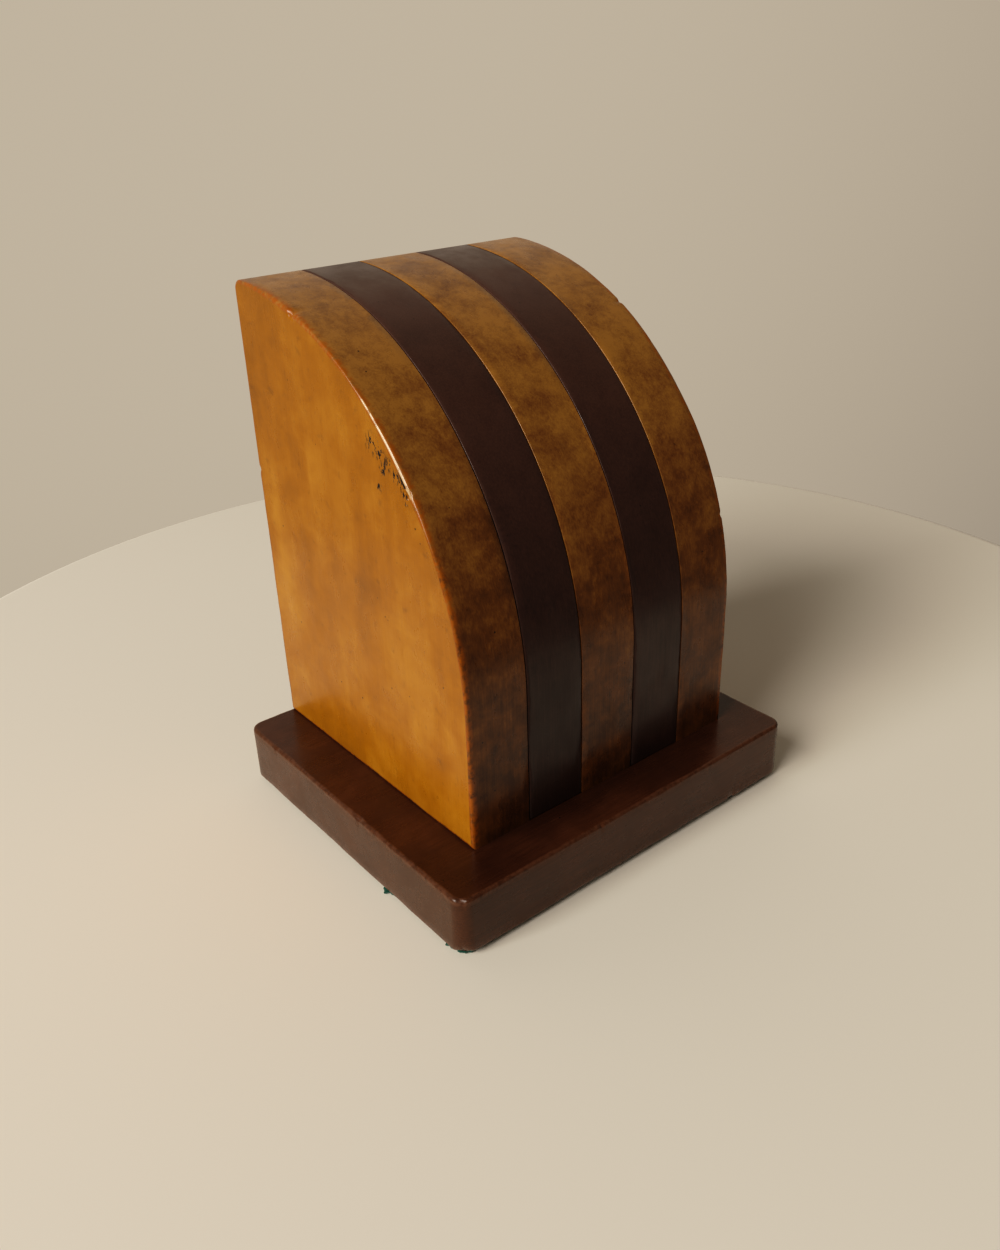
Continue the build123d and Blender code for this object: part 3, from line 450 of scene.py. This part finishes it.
def make_plinth():
    """The plinth, its edges rubbed and nicked."""
    low, high = PLINTH_LOW, PLINTH_HIGH
    nicks = [((low.x, -7.2, high.z), 1.4, 0.5), ((low.x + 0.8, low.y + 0.8, high.z), 1.8, 0.6),
             ((low.x, 31.0, high.z), 1.0, 0.35), ((-12.0, low.y, high.z), 1.2, 0.35),
             ((33.0, low.y, low.z), 1.6, 0.5), ((low.x + 1.0, low.y + 1.0, low.z), 3.2, 0.9),
             ((high.x, 12.0, high.z), 1.3, 0.4)]
    marks = [Vector((n[0][0], n[0][1])) for n in nicks]
    loop = thin_out(rounded_rectangle((low.x, low.y), (high.x, high.y), 3.5), marks)
    arris = worn((0.9, 0.75), (low.z, high.z), (), 6)
    piece = board_mesh("wood_plinth", loop, low.z, high.z, upright, arris,
                       ripple=0.06, dents=nicks, seed=5)
    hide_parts("plinth")
    return piece


def make_drawer_front():
    """The three strips of the drawer's front, in line with the laminations."""
    pieces = {}
    for seed, part in enumerate(("left", "centre", "right")):
        node = "drawer_front_" + part
        low, high = mm_box(node)
        corners = [(low.x, low.z), (high.x, low.z), (high.x, high.z), (low.x, high.z)]
        runs = [line_points(a, b) for a, b in zip(corners, corners[1:] + corners[:1])]
        loop = thin_out(sum(runs, []), [])
        arris = worn((INNER_ARRIS, 0.22), (low.y, high.y), (), 8 + seed)
        pieces[node] = board_mesh("wood_" + node, loop, low.y, high.y, facing_back, arris,
                                  end_rim=1.0, seed=7 + seed)
        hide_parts(node)
    return pieces


# ---------------------------------------------------------------------------
# Cloth
# ---------------------------------------------------------------------------

def cloth_mesh(name, low, high, corner, fray, scraps=(), seed=1):
    """A laid sheet with a frayed edge. scraps are (x, y, how far out) of loose bits."""
    loop = rounded_rectangle((low.x, low.y), (high.x, high.y), corner)
    offsets = mitres(loop)
    middle = (low.z + high.z) / 2
    half = (high.z - low.z) / 2
    edge = []
    for point, offset in zip(loop, offsets):
        spot = (point.x, point.y, 0.0)
        out = fray * (wave(spot, 0.8, seed) + 0.8 * wave(spot, 3.1, seed + 1) - 0.6)
        for x, y, reach in scraps:
            near = math.exp(-((point - Vector((x, y))).length / 1.3) ** 2)
            out += reach * near * (0.8 + 0.7 * wave(spot, 0.45, seed + 2))
        edge.append(point + offset * out)
    layers = ((1.4, half), (0.25, 0.8 * half), (0.0, 0.0), (0.25, -0.8 * half), (1.4, -half))
    bm = bmesh.new()
    rings = [[bm.verts.new((point - offset * inset).to_3d() + Vector((0, 0, middle + rise)))
              for point, offset in zip(edge, offsets)] for inset, rise in layers]
    for upper, lower in zip(rings, rings[1:]):
        for i, vert in enumerate(upper):
            bm.faces.new((upper[i - 1], lower[i - 1], lower[i], vert))
    bm.faces.new(rings[0])
    bm.faces.new(rings[-1][::-1])
    bmesh.ops.recalc_face_normals(bm, faces=bm.faces)
    for vert in bm.verts:
        vert.co *= MM
    return mesh_object(name, bm, 60)


def make_cloths():
    """The baize under the plinth and the lining of the drawer, each laid flat."""
    pieces = {}
    low, high = mm_box("plinth_baize")
    scraps = [(low.x, -16.0, 2.0), (low.x, -18.2, 1.1), (low.x, -39.6, 1.3),
              (high.x, 22.0, 1.2), (-20.0, high.y, 1.0)]
    pieces["plinth_baize"] = cloth_mesh("baize_base", low, high, 2.5, 0.35, scraps, 3)
    low, high = mm_box("drawer_lining")
    pieces["drawer_lining"] = cloth_mesh("baize_lining", low, high, 0.6, 0.12, seed=6)
    for node, piece in pieces.items():
        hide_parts(node)
    return pieces


# ---------------------------------------------------------------------------
# Material nets
# ---------------------------------------------------------------------------

class Net:
    """A material's node tree, with short ways to add the nodes used here."""

    def __init__(self, name):
        self.material = bpy.data.materials.new(name)
        self.material.use_nodes = True
        self.tree = self.material.node_tree
        self.tree.nodes.clear()
        place = self.add("ShaderNodeTexCoord")
        self.place = self.scaled(place.outputs["Object"], (1000, 1000, 1000))

    def add(self, kind, sockets=None, **settings):
        """A node with its settings, then its sockets linked or set."""
        node = self.tree.nodes.new(kind)
        for key, value in settings.items():
            setattr(node, key, value)
        for key, value in (sockets or {}).items():
            self.give(node.inputs[key], value)
        return node

    def give(self, socket, value):
        """Links or sets one socket."""
        if isinstance(value, bpy.types.NodeSocket):
            self.tree.links.new(value, socket)
        else:
            socket.default_value = value

    def scaled(self, vector, factors):
        """A vector times three factors."""
        node = self.add("ShaderNodeVectorMath", {0: vector, 1: factors}, operation="MULTIPLY")
        return node.outputs[0]

    def noise(self, sizes, detail=3.0, rough=0.55, twist=0.0, shift=0.0):
        """Noise whose features are about sizes mm long along X, Y and Z, from 0 to 1."""
        place = self.scaled(self.place, [1 / size for size in sizes])
        if shift:
            place = self.add("ShaderNodeVectorMath", {0: place, 1: (shift, shift, shift)},
                             operation="ADD").outputs[0]
        node = self.add("ShaderNodeTexNoise", {"Vector": place, "Scale": 1.0, "Detail": detail,
                                               "Roughness": rough, "Distortion": twist})
        return node.outputs["Fac"]

    def cells(self, sizes, feature="F1", spread=1.0):
        """Distances in a cell pattern, sizes mm across."""
        place = self.scaled(self.place, [1 / size for size in sizes])
        node = self.add("ShaderNodeTexVoronoi", {"Vector": place, "Scale": 1.0,
                                                 "Randomness": spread}, feature=feature)
        return node.outputs["Distance"]

    def math(self, operation, a, b=0.0, clamp=False):
        """One sum."""
        return self.add("ShaderNodeMath", {0: a, 1: b}, operation=operation,
                        use_clamp=clamp).outputs[0]

    def between(self, value, low, high, to_low=0.0, to_high=1.0):
        """A value's range from low to high, smoothly stretched to another."""
        node = self.add("ShaderNodeMapRange", {0: value, 1: low, 2: high, 3: to_low, 4: to_high},
                        interpolation_type="SMOOTHSTEP")
        return node.outputs[0]

    def ramp(self, value, stops):
        """A colour ramp of (place, colour) stops."""
        node = self.add("ShaderNodeValToRGB", {"Fac": value})
        ramp = node.color_ramp
        while len(ramp.elements) < len(stops):
            ramp.elements.new(0.5)
        for element, (place, colour) in zip(ramp.elements, stops):
            element.position = place
            element.color = (*colour, 1.0)
        return node.outputs["Color"]

    def mix(self, amount, a, b, blend="MIX"):
        """Two colours, mixed."""
        node = self.add("ShaderNodeMix", data_type="RGBA", blend_type=blend)
        self.give(node.inputs[0], amount)
        for socket, value in ((node.inputs[6], a), (node.inputs[7], b)):
            if isinstance(value, tuple) and len(value) == 3:
                value = (*value, 1.0)
            self.give(socket, value)
        return node.outputs[2]

    def axis(self, which):
        """One coordinate of the place, in mm."""
        return self.add("ShaderNodeSeparateXYZ", {0: self.place}).outputs[which]

    def add_up(self, *terms):
        """0.5, and each (value, weight)'s weight times its distance from 0.5."""
        total = 0.5
        for value, weight in terms:
            off = self.math("MULTIPLY", self.math("SUBTRACT", value, 0.5), weight)
            total = self.math("ADD", off, total)
        return total

    def attribute(self, name):
        """A value stored on the mesh."""
        return self.add("ShaderNodeAttribute", attribute_name=name).outputs["Fac"]

    def near(self, centre, reach, core=0.3):
        """1 close to a place in mm, falling to 0 at that reach."""
        node = self.add("ShaderNodeVectorMath", {0: self.place, 1: centre}, operation="DISTANCE")
        return self.between(node.outputs["Value"], reach, reach * core)

    def bump(self, height, depth, strength=1.0, below=None):
        """A bump of that depth in mm."""
        sockets = {"Height": height, "Strength": strength, "Distance": depth * MM}
        if below is not None:
            sockets["Normal"] = below
        return self.add("ShaderNodeBump", sockets).outputs["Normal"]

    def finish(self, sockets):
        """The surface shader and the output."""
        shader = self.add("ShaderNodeBsdfPrincipled", sockets)
        output = self.add("ShaderNodeOutputMaterial")
        self.tree.links.new(shader.outputs["BSDF"], output.inputs["Surface"])
        return self.material


SPECK = (0.012, 0.007, 0.004)
# bare wood and painted highlight: the pale colour of the thin line along the left cheek's rubbed
# arris
BARE_WOOD_AND_HIGHLIGHT = (0.62, 0.44, 0.26)
# mm: the y, z and reach of each flaked place on the left cheek, and of the sliver at its edge
FLECKS = ((-6.4, 101.2, 3.4), (-8.9, 99.6, 2.4), (-11.4, 98.2, 2.2), (-14.0, 96.2, 2.0),
          (-16.6, 93.8, 2.3), (-9.8, 96.7, 2.2), (-7.4, 92.4, 1.7), (-17.1, 92.0, 1.6),
          (-15.4, 95.1, 1.5), (-12.6, 97.9, 1.2))
SLIVER = (-16.2, 94.9, 4.0)


def fleck_loss(net, colour):
    """The rubbed stretch of the left cheek's arc: a pale line along the very edge, partly bare
    wood and partly a painted highlight, and finish flaked off to dark wood beside it."""
    x = CHEEK_LOW.x
    stretch = net.math("MULTIPLY", net.between(net.axis(1), -20.5, -17.5),
                       net.between(net.axis(1), -1.5, -4.0))
    stretch = net.math("MULTIPLY", stretch, net.between(net.axis(2), 85.0, 88.0))
    inset = net.math("SUBTRACT", net.axis(0), x)
    # painted highlight: a pale line along the rubbed arris, partly bare wood and partly the
    # window's glint on it
    line = net.math("MULTIPLY", net.between(inset, 0.02, 0.07), net.between(inset, 0.34, 0.24))
    line = net.math("MULTIPLY", line, net.between(net.attribute("wear"), 0.85, 0.95))
    line = net.math("MULTIPLY", stretch, line)
    patchy = net.between(net.noise((2.2, 2.2, 2.2), 3.0, 0.6), 0.30, 0.44)
    colour = net.mix(net.math("MULTIPLY", line, patchy), colour, BARE_WOOD_AND_HIGHLIGHT)
    broken = net.between(net.noise((0.9, 0.7, 1.5), 4.0, 0.62), 0.54, 0.57)
    zones = None
    for y, z, reach in FLECKS:
        here = net.near((x, y, z), reach)
        zones = here if zones is None else net.math("MAXIMUM", zones, here)
    off_edge = net.between(net.attribute("wear"), 0.98, 0.75)
    mask = net.math("MULTIPLY", net.math("MULTIPLY", broken, zones), off_edge)
    ragged = net.between(net.noise((0.8, 0.8, 1.4), 3.0, 0.6), 0.40, 0.46)
    sliver = net.math("MULTIPLY", net.near((x, *SLIVER[:2]), SLIVER[2]), ragged)
    sliver = net.math("MULTIPLY", sliver, net.between(net.attribute("wear"), 0.3, 0.5))
    sliver = net.math("MULTIPLY", sliver, net.between(inset, 0.05, 0.02))
    mask = net.math("MAXIMUM", mask, sliver)
    return net.mix(mask, colour, SPECK), mask


def polished_wood(name, side, rim, edge, mottle=1.0, streak=0.1, seed=0.0, grain_axis=2,
                  gloss=0.3, dull_edge=0.0, loss=False):
    """French-polished timber. side and rim are the (dark, middle, light) of its two kinds of
    face, mottle is how cloudy the rim is, and dull_edge how rough its rubbed edges are."""
    net = Net(name)

    def stretched(thick, length):
        sizes = [thick, thick, thick]
        sizes[grain_axis] = length
        return sizes

    patch = net.noise(stretched(24.0, 50.0), 2.0, 0.5, 0.4, seed + 4.7)
    band = net.noise(stretched(6.5, 55.0), 3.0, 0.5, 0.2, seed + 1.3)
    fibre = net.noise(stretched(0.35, 12.0), 3.0, 0.6, 0.0, seed + 2.1)
    cloud = net.noise(stretched(9.0, 8.0), 5.0, 0.6, 0.35, seed + 7.9)
    spot = net.noise(stretched(1.9, 2.6), 4.0, 0.7, 0.4, seed + 5.2)
    pores = net.between(net.noise(stretched(0.17, 1.9), 2.0, 0.5, 0.0, seed + 3.0), 0.66, 0.74)
    calm = net.add_up((patch, 0.55), (band, 0.16), (cloud, 0.34), (fibre, streak))
    face = net.ramp(calm, [(0.30, side[0]), (0.50, side[1]), (0.70, side[2])])
    # painted light: the rim's colour is made lighter towards the top, standing for the light that
    # its upturned curve catches; the other terms are the wood's own random mottle
    high = net.between(net.axis(2), 25.0, 118.0, -0.15, 0.19)
    rim_tone_and_painted_light = net.add_up((cloud, 0.64 * mottle), (spot, 0.38 * mottle), (patch, 0.35),
                      (fibre, streak + 0.2), (net.math("ADD", high, 0.5), 1.0))
    front = net.ramp(rim_tone_and_painted_light, [(0.28, rim[0]), (0.50, rim[1]), (0.76, rim[2])])
    colour = net.mix(net.attribute("rim"), face, front)
    colour = net.mix(net.math("MULTIPLY", pores, 0.3), colour, rim[0])
    ragged = net.between(net.noise((1.3, 1.3, 1.3), 4.0, 0.65, 0.0, seed), 0.34, 0.6)
    rubbed = net.math("MULTIPLY", net.between(net.attribute("wear"), 0.35, 1.0), ragged)
    colour = net.mix(rubbed, colour, edge)
    grime = net.math("MULTIPLY", net.between(net.noise((3.0, 3.0, 3.0), 3.0), 0.58, 0.78), 0.25)
    colour = net.mix(grime, colour, rim[0])
    specks = net.between(net.cells((3.1, 3.1, 3.1)), 0.085, 0.045)
    specks = net.math("MULTIPLY", specks, net.between(net.noise((7, 7, 7), 1.0), 0.58, 0.64))
    colour = net.mix(specks, colour, SPECK)
    rough = net.between(net.noise(stretched(6.0, 10.0), 4.0, 0.6), 0.3, 0.7, gloss - 0.05,
                        gloss + 0.09)
    dull = net.math("MULTIPLY", net.between(net.attribute("wear"), 0.36, 0.45), dull_edge)
    rough = net.math("ADD", rough, dull)
    height = net.math("ADD", net.math("MULTIPLY", fibre, 0.5), net.math("MULTIPLY", pores, -0.7))
    normal = net.bump(net.noise((6.0, 6.0, 7.0), 2.0), 0.05, 0.45)
    normal = net.bump(net.noise((0.7, 0.7, 0.7), 2.0), 0.012, 0.7, normal)
    if loss:
        colour, mask = fleck_loss(net, colour)
        height = net.math("SUBTRACT", height, net.math("MULTIPLY", mask, 3.0))
        rough = net.math("ADD", rough, net.math("MULTIPLY", mask, 0.4))
    normal = net.bump(height, 0.018, 0.6, normal)
    return net.finish({"Base Color": colour, "Roughness": rough, "Normal": normal,
                       "Coat Weight": 0.12, "Coat Roughness": 0.14, "IOR": 1.45})


def bare_wood(name, dark, light, grain_axis):
    """Unpolished inside timber with short rays in its grain."""
    net = Net(name)
    sizes = [0.5, 0.5, 0.5]
    sizes[grain_axis] = 14.0
    grain = net.noise(sizes, 4.0, 0.6)
    broad = net.noise([size * 9 for size in sizes], 2.0)
    flecks = [0.35, 0.35, 0.35]
    flecks[grain_axis] = 2.2
    rays = net.between(net.noise(flecks, 1.0, 0.4), 0.66, 0.72)
    tone = net.math("ADD", net.math("MULTIPLY", grain, 0.6), net.math("MULTIPLY", broad, 0.4))
    colour = net.ramp(tone, [(0.3, dark), (0.7, light)])
    colour = net.mix(net.math("MULTIPLY", rays, 0.55), colour, dark)
    normal = net.bump(grain, 0.04, 0.6)
    return net.finish({"Base Color": colour, "Roughness": 0.62, "Normal": normal})


def old_metal(name, bright, dull, polish):
    """Brushed metal with tarnish and small scratches."""
    net = Net(name)
    brushed = net.noise((6.0, 0.09, 0.09), 2.0, 0.6)
    blotch = net.noise((2.6, 2.6, 2.6), 4.0, 0.65)
    colour = net.ramp(blotch, [(0.35, dull), (0.62, bright)])
    rough = net.between(net.math("ADD", net.math("MULTIPLY", blotch, -0.3), brushed), 0.0, 0.7,
                        polish - 0.08, polish + 0.14)
    normal = net.bump(brushed, 0.006, 0.5)
    return net.finish({"Base Color": colour, "Roughness": rough, "Metallic": 1.0,
                       "Normal": normal})


def felt(name, dark, light):
    """Green baize, with a matted nap."""
    net = Net(name)
    nap = net.noise((0.22, 0.22, 0.22), 4.0, 0.7, 0.8)
    worn_nap = net.noise((5.0, 5.0, 5.0), 3.0, 0.6)
    tone = net.math("ADD", net.math("MULTIPLY", nap, 0.6), net.math("MULTIPLY", worn_nap, 0.4))
    colour = net.ramp(tone, [(0.3, dark), (0.7, light)])
    normal = net.bump(nap, 0.25, 0.9)
    return net.finish({"Base Color": colour, "Roughness": 0.95, "Normal": normal,
                       "Sheen Weight": 0.5, "Sheen Roughness": 0.4})


# ---------------------------------------------------------------------------
# Scene
# ---------------------------------------------------------------------------

# Linear colours: the (dark, middle, light) of each timber's two kinds of face, and its rubbed edge
PALE_SIDE = ((0.225, 0.080, 0.0022), (0.348, 0.134, 0.0030), (0.480, 0.222, 0.020))
PALE_RIM = ((0.072, 0.0255, 0.0080), (0.178, 0.0670, 0.0145), (0.370, 0.172, 0.036))
PALE_EDGE = (0.34, 0.100, 0.006)
DARK_SIDE = ((0.038, 0.0170, 0.0125), (0.062, 0.0280, 0.0200), (0.094, 0.044, 0.030))
DARK_RIM = ((0.034, 0.0155, 0.0115), (0.058, 0.0262, 0.0190), (0.088, 0.041, 0.028))
DARK_EDGE = (0.12, 0.042, 0.012)
# painted light: the plinth is one timber, but its sides get a lighter copy of its top's colour,
# standing for the light and reflection on its lit left side
RED_TOP = ((0.036, 0.0115, 0.0055), (0.062, 0.0220, 0.0098), (0.105, 0.040, 0.018))
RED_SIDE_PAINTED_LIGHTER = ((0.060, 0.0225, 0.0090), (0.098, 0.0360, 0.0140), (0.150, 0.062, 0.028))
RED_EDGE = (0.115, 0.047, 0.023)

EASED_EDGE = {"core_wood": 0.25, "brass": 0.08}     # mm, on the slots of the CAD nodes

FLOOR_COLOUR = (0.81, 0.755, 0.66)
FLOOR_CENTRE = (27.6, 26.8)    # mm
FLOOR_RADIUS = 209.0           # mm
FLOOR_EDGE = 5.0               # mm, the roundness of its rim
FLOOR_DROP = 60.0              # mm, how far it falls at the rim
FLOOR_SIDES = 120              # points round it
FLOOR_EDGE_STEPS = 6           # steps round the rim's edge
WINDOW_PLACE = (-2.2, -0.2, 1.4)    # m
WINDOW_AIM = (0.0, 0.0, 0.06)       # m
WINDOW_SIZE = (1.5, 1.5)            # m
WINDOW_POWER = 77.0                 # W
WINDOW_COLOUR = (1.0, 0.96, 0.90)
WALL_COLOUR = (0.52, 0.45, 0.36)
WALL_SIDE = (0.35, 0.92, 0.10)
WALL_FROM, WALL_FULL = 0.1, 1.0     # how nearly towards WALL_SIDE the wall starts and is full
SHADE_COLOUR = (0.135, 0.118, 0.098)
TONE_CURVE = ((0.03, 0.0125), (0.1, 0.068), (0.25, 0.22), (0.5, 0.51))


def make_floor():
    """A plain pale floor, round, with a soft edge."""
    turn = [math.radians(90 * i / FLOOR_EDGE_STEPS) for i in range(FLOOR_EDGE_STEPS + 1)]
    profile = [(FLOOR_RADIUS - FLOOR_EDGE * (1 - math.sin(a)), -FLOOR_EDGE * (1 - math.cos(a)))
               for a in turn]
    profile.append((FLOOR_RADIUS, -FLOOR_DROP))
    bm = bmesh.new()
    rings = []
    for radius, z in profile:
        angles = [math.radians(360 * i / FLOOR_SIDES) for i in range(FLOOR_SIDES)]
        rings.append([bm.verts.new(((FLOOR_CENTRE[0] + radius * math.cos(a)) * MM,
                                    (FLOOR_CENTRE[1] + radius * math.sin(a)) * MM, z * MM))
                      for a in angles])
    for upper, lower in zip(rings, rings[1:]):
        for i, vert in enumerate(upper):
            bm.faces.new((upper[i - 1], lower[i - 1], lower[i], vert))
    bm.faces.new(rings[0])
    floor = mesh_object("floor", bm)
    net = Net("floor_cloth")
    floor.data.materials.append(net.finish({"Base Color": (*FLOOR_COLOUR, 1.0),
                                            "Roughness": 0.9}))


def area_light(name, place, aim, size, power, colour):
    """A soft rectangular light."""
    data = bpy.data.lights.new(name, "AREA")
    data.shape = "RECTANGLE"
    data.size, data.size_y = size
    data.energy = power
    data.color = colour
    light = bpy.data.objects.new(name, data)
    bpy.context.collection.objects.link(light)
    light.location = place
    light.rotation_euler = (Vector(aim) - Vector(place)).to_track_quat("-Z", "Y").to_euler()


def make_room():
    """A room with a pale wall behind the object, and dimmer in front of it."""
    world = bpy.data.worlds.new("room")
    world.use_nodes = True
    nodes, links = world.node_tree.nodes, world.node_tree.links
    place = nodes.new("ShaderNodeTexCoord")
    towards = nodes.new("ShaderNodeVectorMath")
    towards.operation = "DOT_PRODUCT"
    towards.inputs[1].default_value = WALL_SIDE
    links.new(place.outputs["Generated"], towards.inputs[0])
    ramp = nodes.new("ShaderNodeMapRange")
    ramp.interpolation_type = "SMOOTHSTEP"
    ramp.inputs["From Min"].default_value = WALL_FROM
    ramp.inputs["From Max"].default_value = WALL_FULL
    links.new(towards.outputs["Value"], ramp.inputs["Value"])
    mix = nodes.new("ShaderNodeMix")
    mix.data_type = "RGBA"
    mix.inputs[6].default_value = (*SHADE_COLOUR, 1.0)
    mix.inputs[7].default_value = (*WALL_COLOUR, 1.0)
    links.new(ramp.outputs["Result"], mix.inputs[0])
    links.new(mix.outputs[2], nodes["Background"].inputs["Color"])
    bpy.context.scene.world = world


def make_lights():
    """A window's soft light from the left, and the light of the room."""
    area_light("window", WINDOW_PLACE, WINDOW_AIM, WINDOW_SIZE, WINDOW_POWER, WINDOW_COLOUR)
    make_room()


def set_tones():
    """A camera's gentle contrast, which deepens the darks."""
    view = bpy.context.scene.view_settings
    view.view_transform = "Standard"
    view.use_curve_mapping = True
    curve = view.curve_mapping.curves[3]
    for light, tone in TONE_CURVE:
        curve.points.new(light, tone)
    view.curve_mapping.update()


def soften(obj, width):
    """Eases the sharp edges of a CAD node, without changing its mesh."""
    if width:
        modifier = obj.modifiers.new("eased_edges", "BEVEL")
        modifier.width = width * MM
        modifier.segments = 2
        modifier.limit_method = "ANGLE"
        modifier.angle_limit = math.radians(50)


def paint(obj, material):
    """Gives an object one material in every slot."""
    if not obj.data.materials:
        obj.data.materials.append(material)
    for slot in obj.material_slots:
        slot.material = material


make_camera()
woods = make_laminations()
plinth = make_plinth()
slats = make_drawer_front()
cloths = make_cloths()

pale = polished_wood("pale_left", PALE_SIDE, PALE_RIM, PALE_EDGE, loss=True)
pale_centre = polished_wood("pale_centre", PALE_SIDE, PALE_RIM, PALE_EDGE, seed=11.0)
pale_right = polished_wood("pale_right", PALE_SIDE, PALE_RIM, PALE_EDGE, seed=23.0)
dark_left = polished_wood("dark_left", DARK_SIDE, DARK_RIM, DARK_EDGE, mottle=0.5, streak=0.3,
                          seed=31.0, gloss=0.33, dull_edge=0.4)
dark_right = polished_wood("dark_right", DARK_SIDE, DARK_RIM, DARK_EDGE, mottle=0.5, streak=0.3,
                           seed=37.0, gloss=0.33, dull_edge=0.4)
red = polished_wood("plinth_red", RED_TOP, RED_SIDE_PAINTED_LIGHTER, RED_EDGE, mottle=0.4, streak=0.35,
                    seed=41.0, grain_axis=0, gloss=0.27)

MATERIALS = {"left_cheek": pale, "right_cheek": pale_right, "centre_slab": pale_centre,
             "left_slide": dark_left, "right_slide": dark_right}
BODIES = {node: body for body, nodes in frame["record"]["behaviour"]["bodies"].items()
          for node in nodes}
SLOTS = {part["node"]: part["material_slot"] for part in frame["record"]["subparts"]}

for node, piece in woods.items():
    paint(piece, MATERIALS[node])
    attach(piece, BODIES[node])
paint(plinth, red)
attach(plinth, BODIES["plinth"])
for node, piece in slats.items():
    paint(piece, {"left": dark_left, "centre": pale_centre, "right": dark_right}[
        node.rsplit("_", 1)[1]])
    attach(piece, BODIES[node])

for node, piece in cloths.items():
    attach(piece, BODIES[node])

beech_x = bare_wood("core_wood_across", (0.30, 0.17, 0.085), (0.50, 0.33, 0.18), 0)
beech_y = bare_wood("core_wood_along", (0.32, 0.18, 0.09), (0.52, 0.34, 0.19), 1)
beech_z = bare_wood("core_wood_upright", (0.28, 0.16, 0.08), (0.47, 0.31, 0.17), 2)
brass = old_metal("brass", (0.80, 0.57, 0.24), (0.42, 0.27, 0.10), 0.3)
steel = old_metal("steel", (0.60, 0.61, 0.62), (0.32, 0.31, 0.30), 0.28)
baize = felt("baize", (0.006, 0.05, 0.035), (0.02, 0.13, 0.085))
SLOT_MATERIALS = {"core_wood": beech_z, "brass": brass, "steel": steel, "baize": baize,
                  "pale_wood": pale_centre, "dark_wood": dark_left, "plinth_wood": red}
NODE_MATERIALS = {"core_board": beech_x, "drawer_end": beech_x, "drawer_bottom": beech_x,
                  "drawer_left_side": beech_y, "drawer_right_side": beech_y}
for node, obj in frame["nodes"].items():
    paint(obj, NODE_MATERIALS.get(node, SLOT_MATERIALS[SLOTS[node]]))
    soften(obj, EASED_EDGE.get(SLOTS[node], 0.0))
for piece in cloths.values():
    paint(piece, baize)

make_floor()
make_lights()
set_tones()
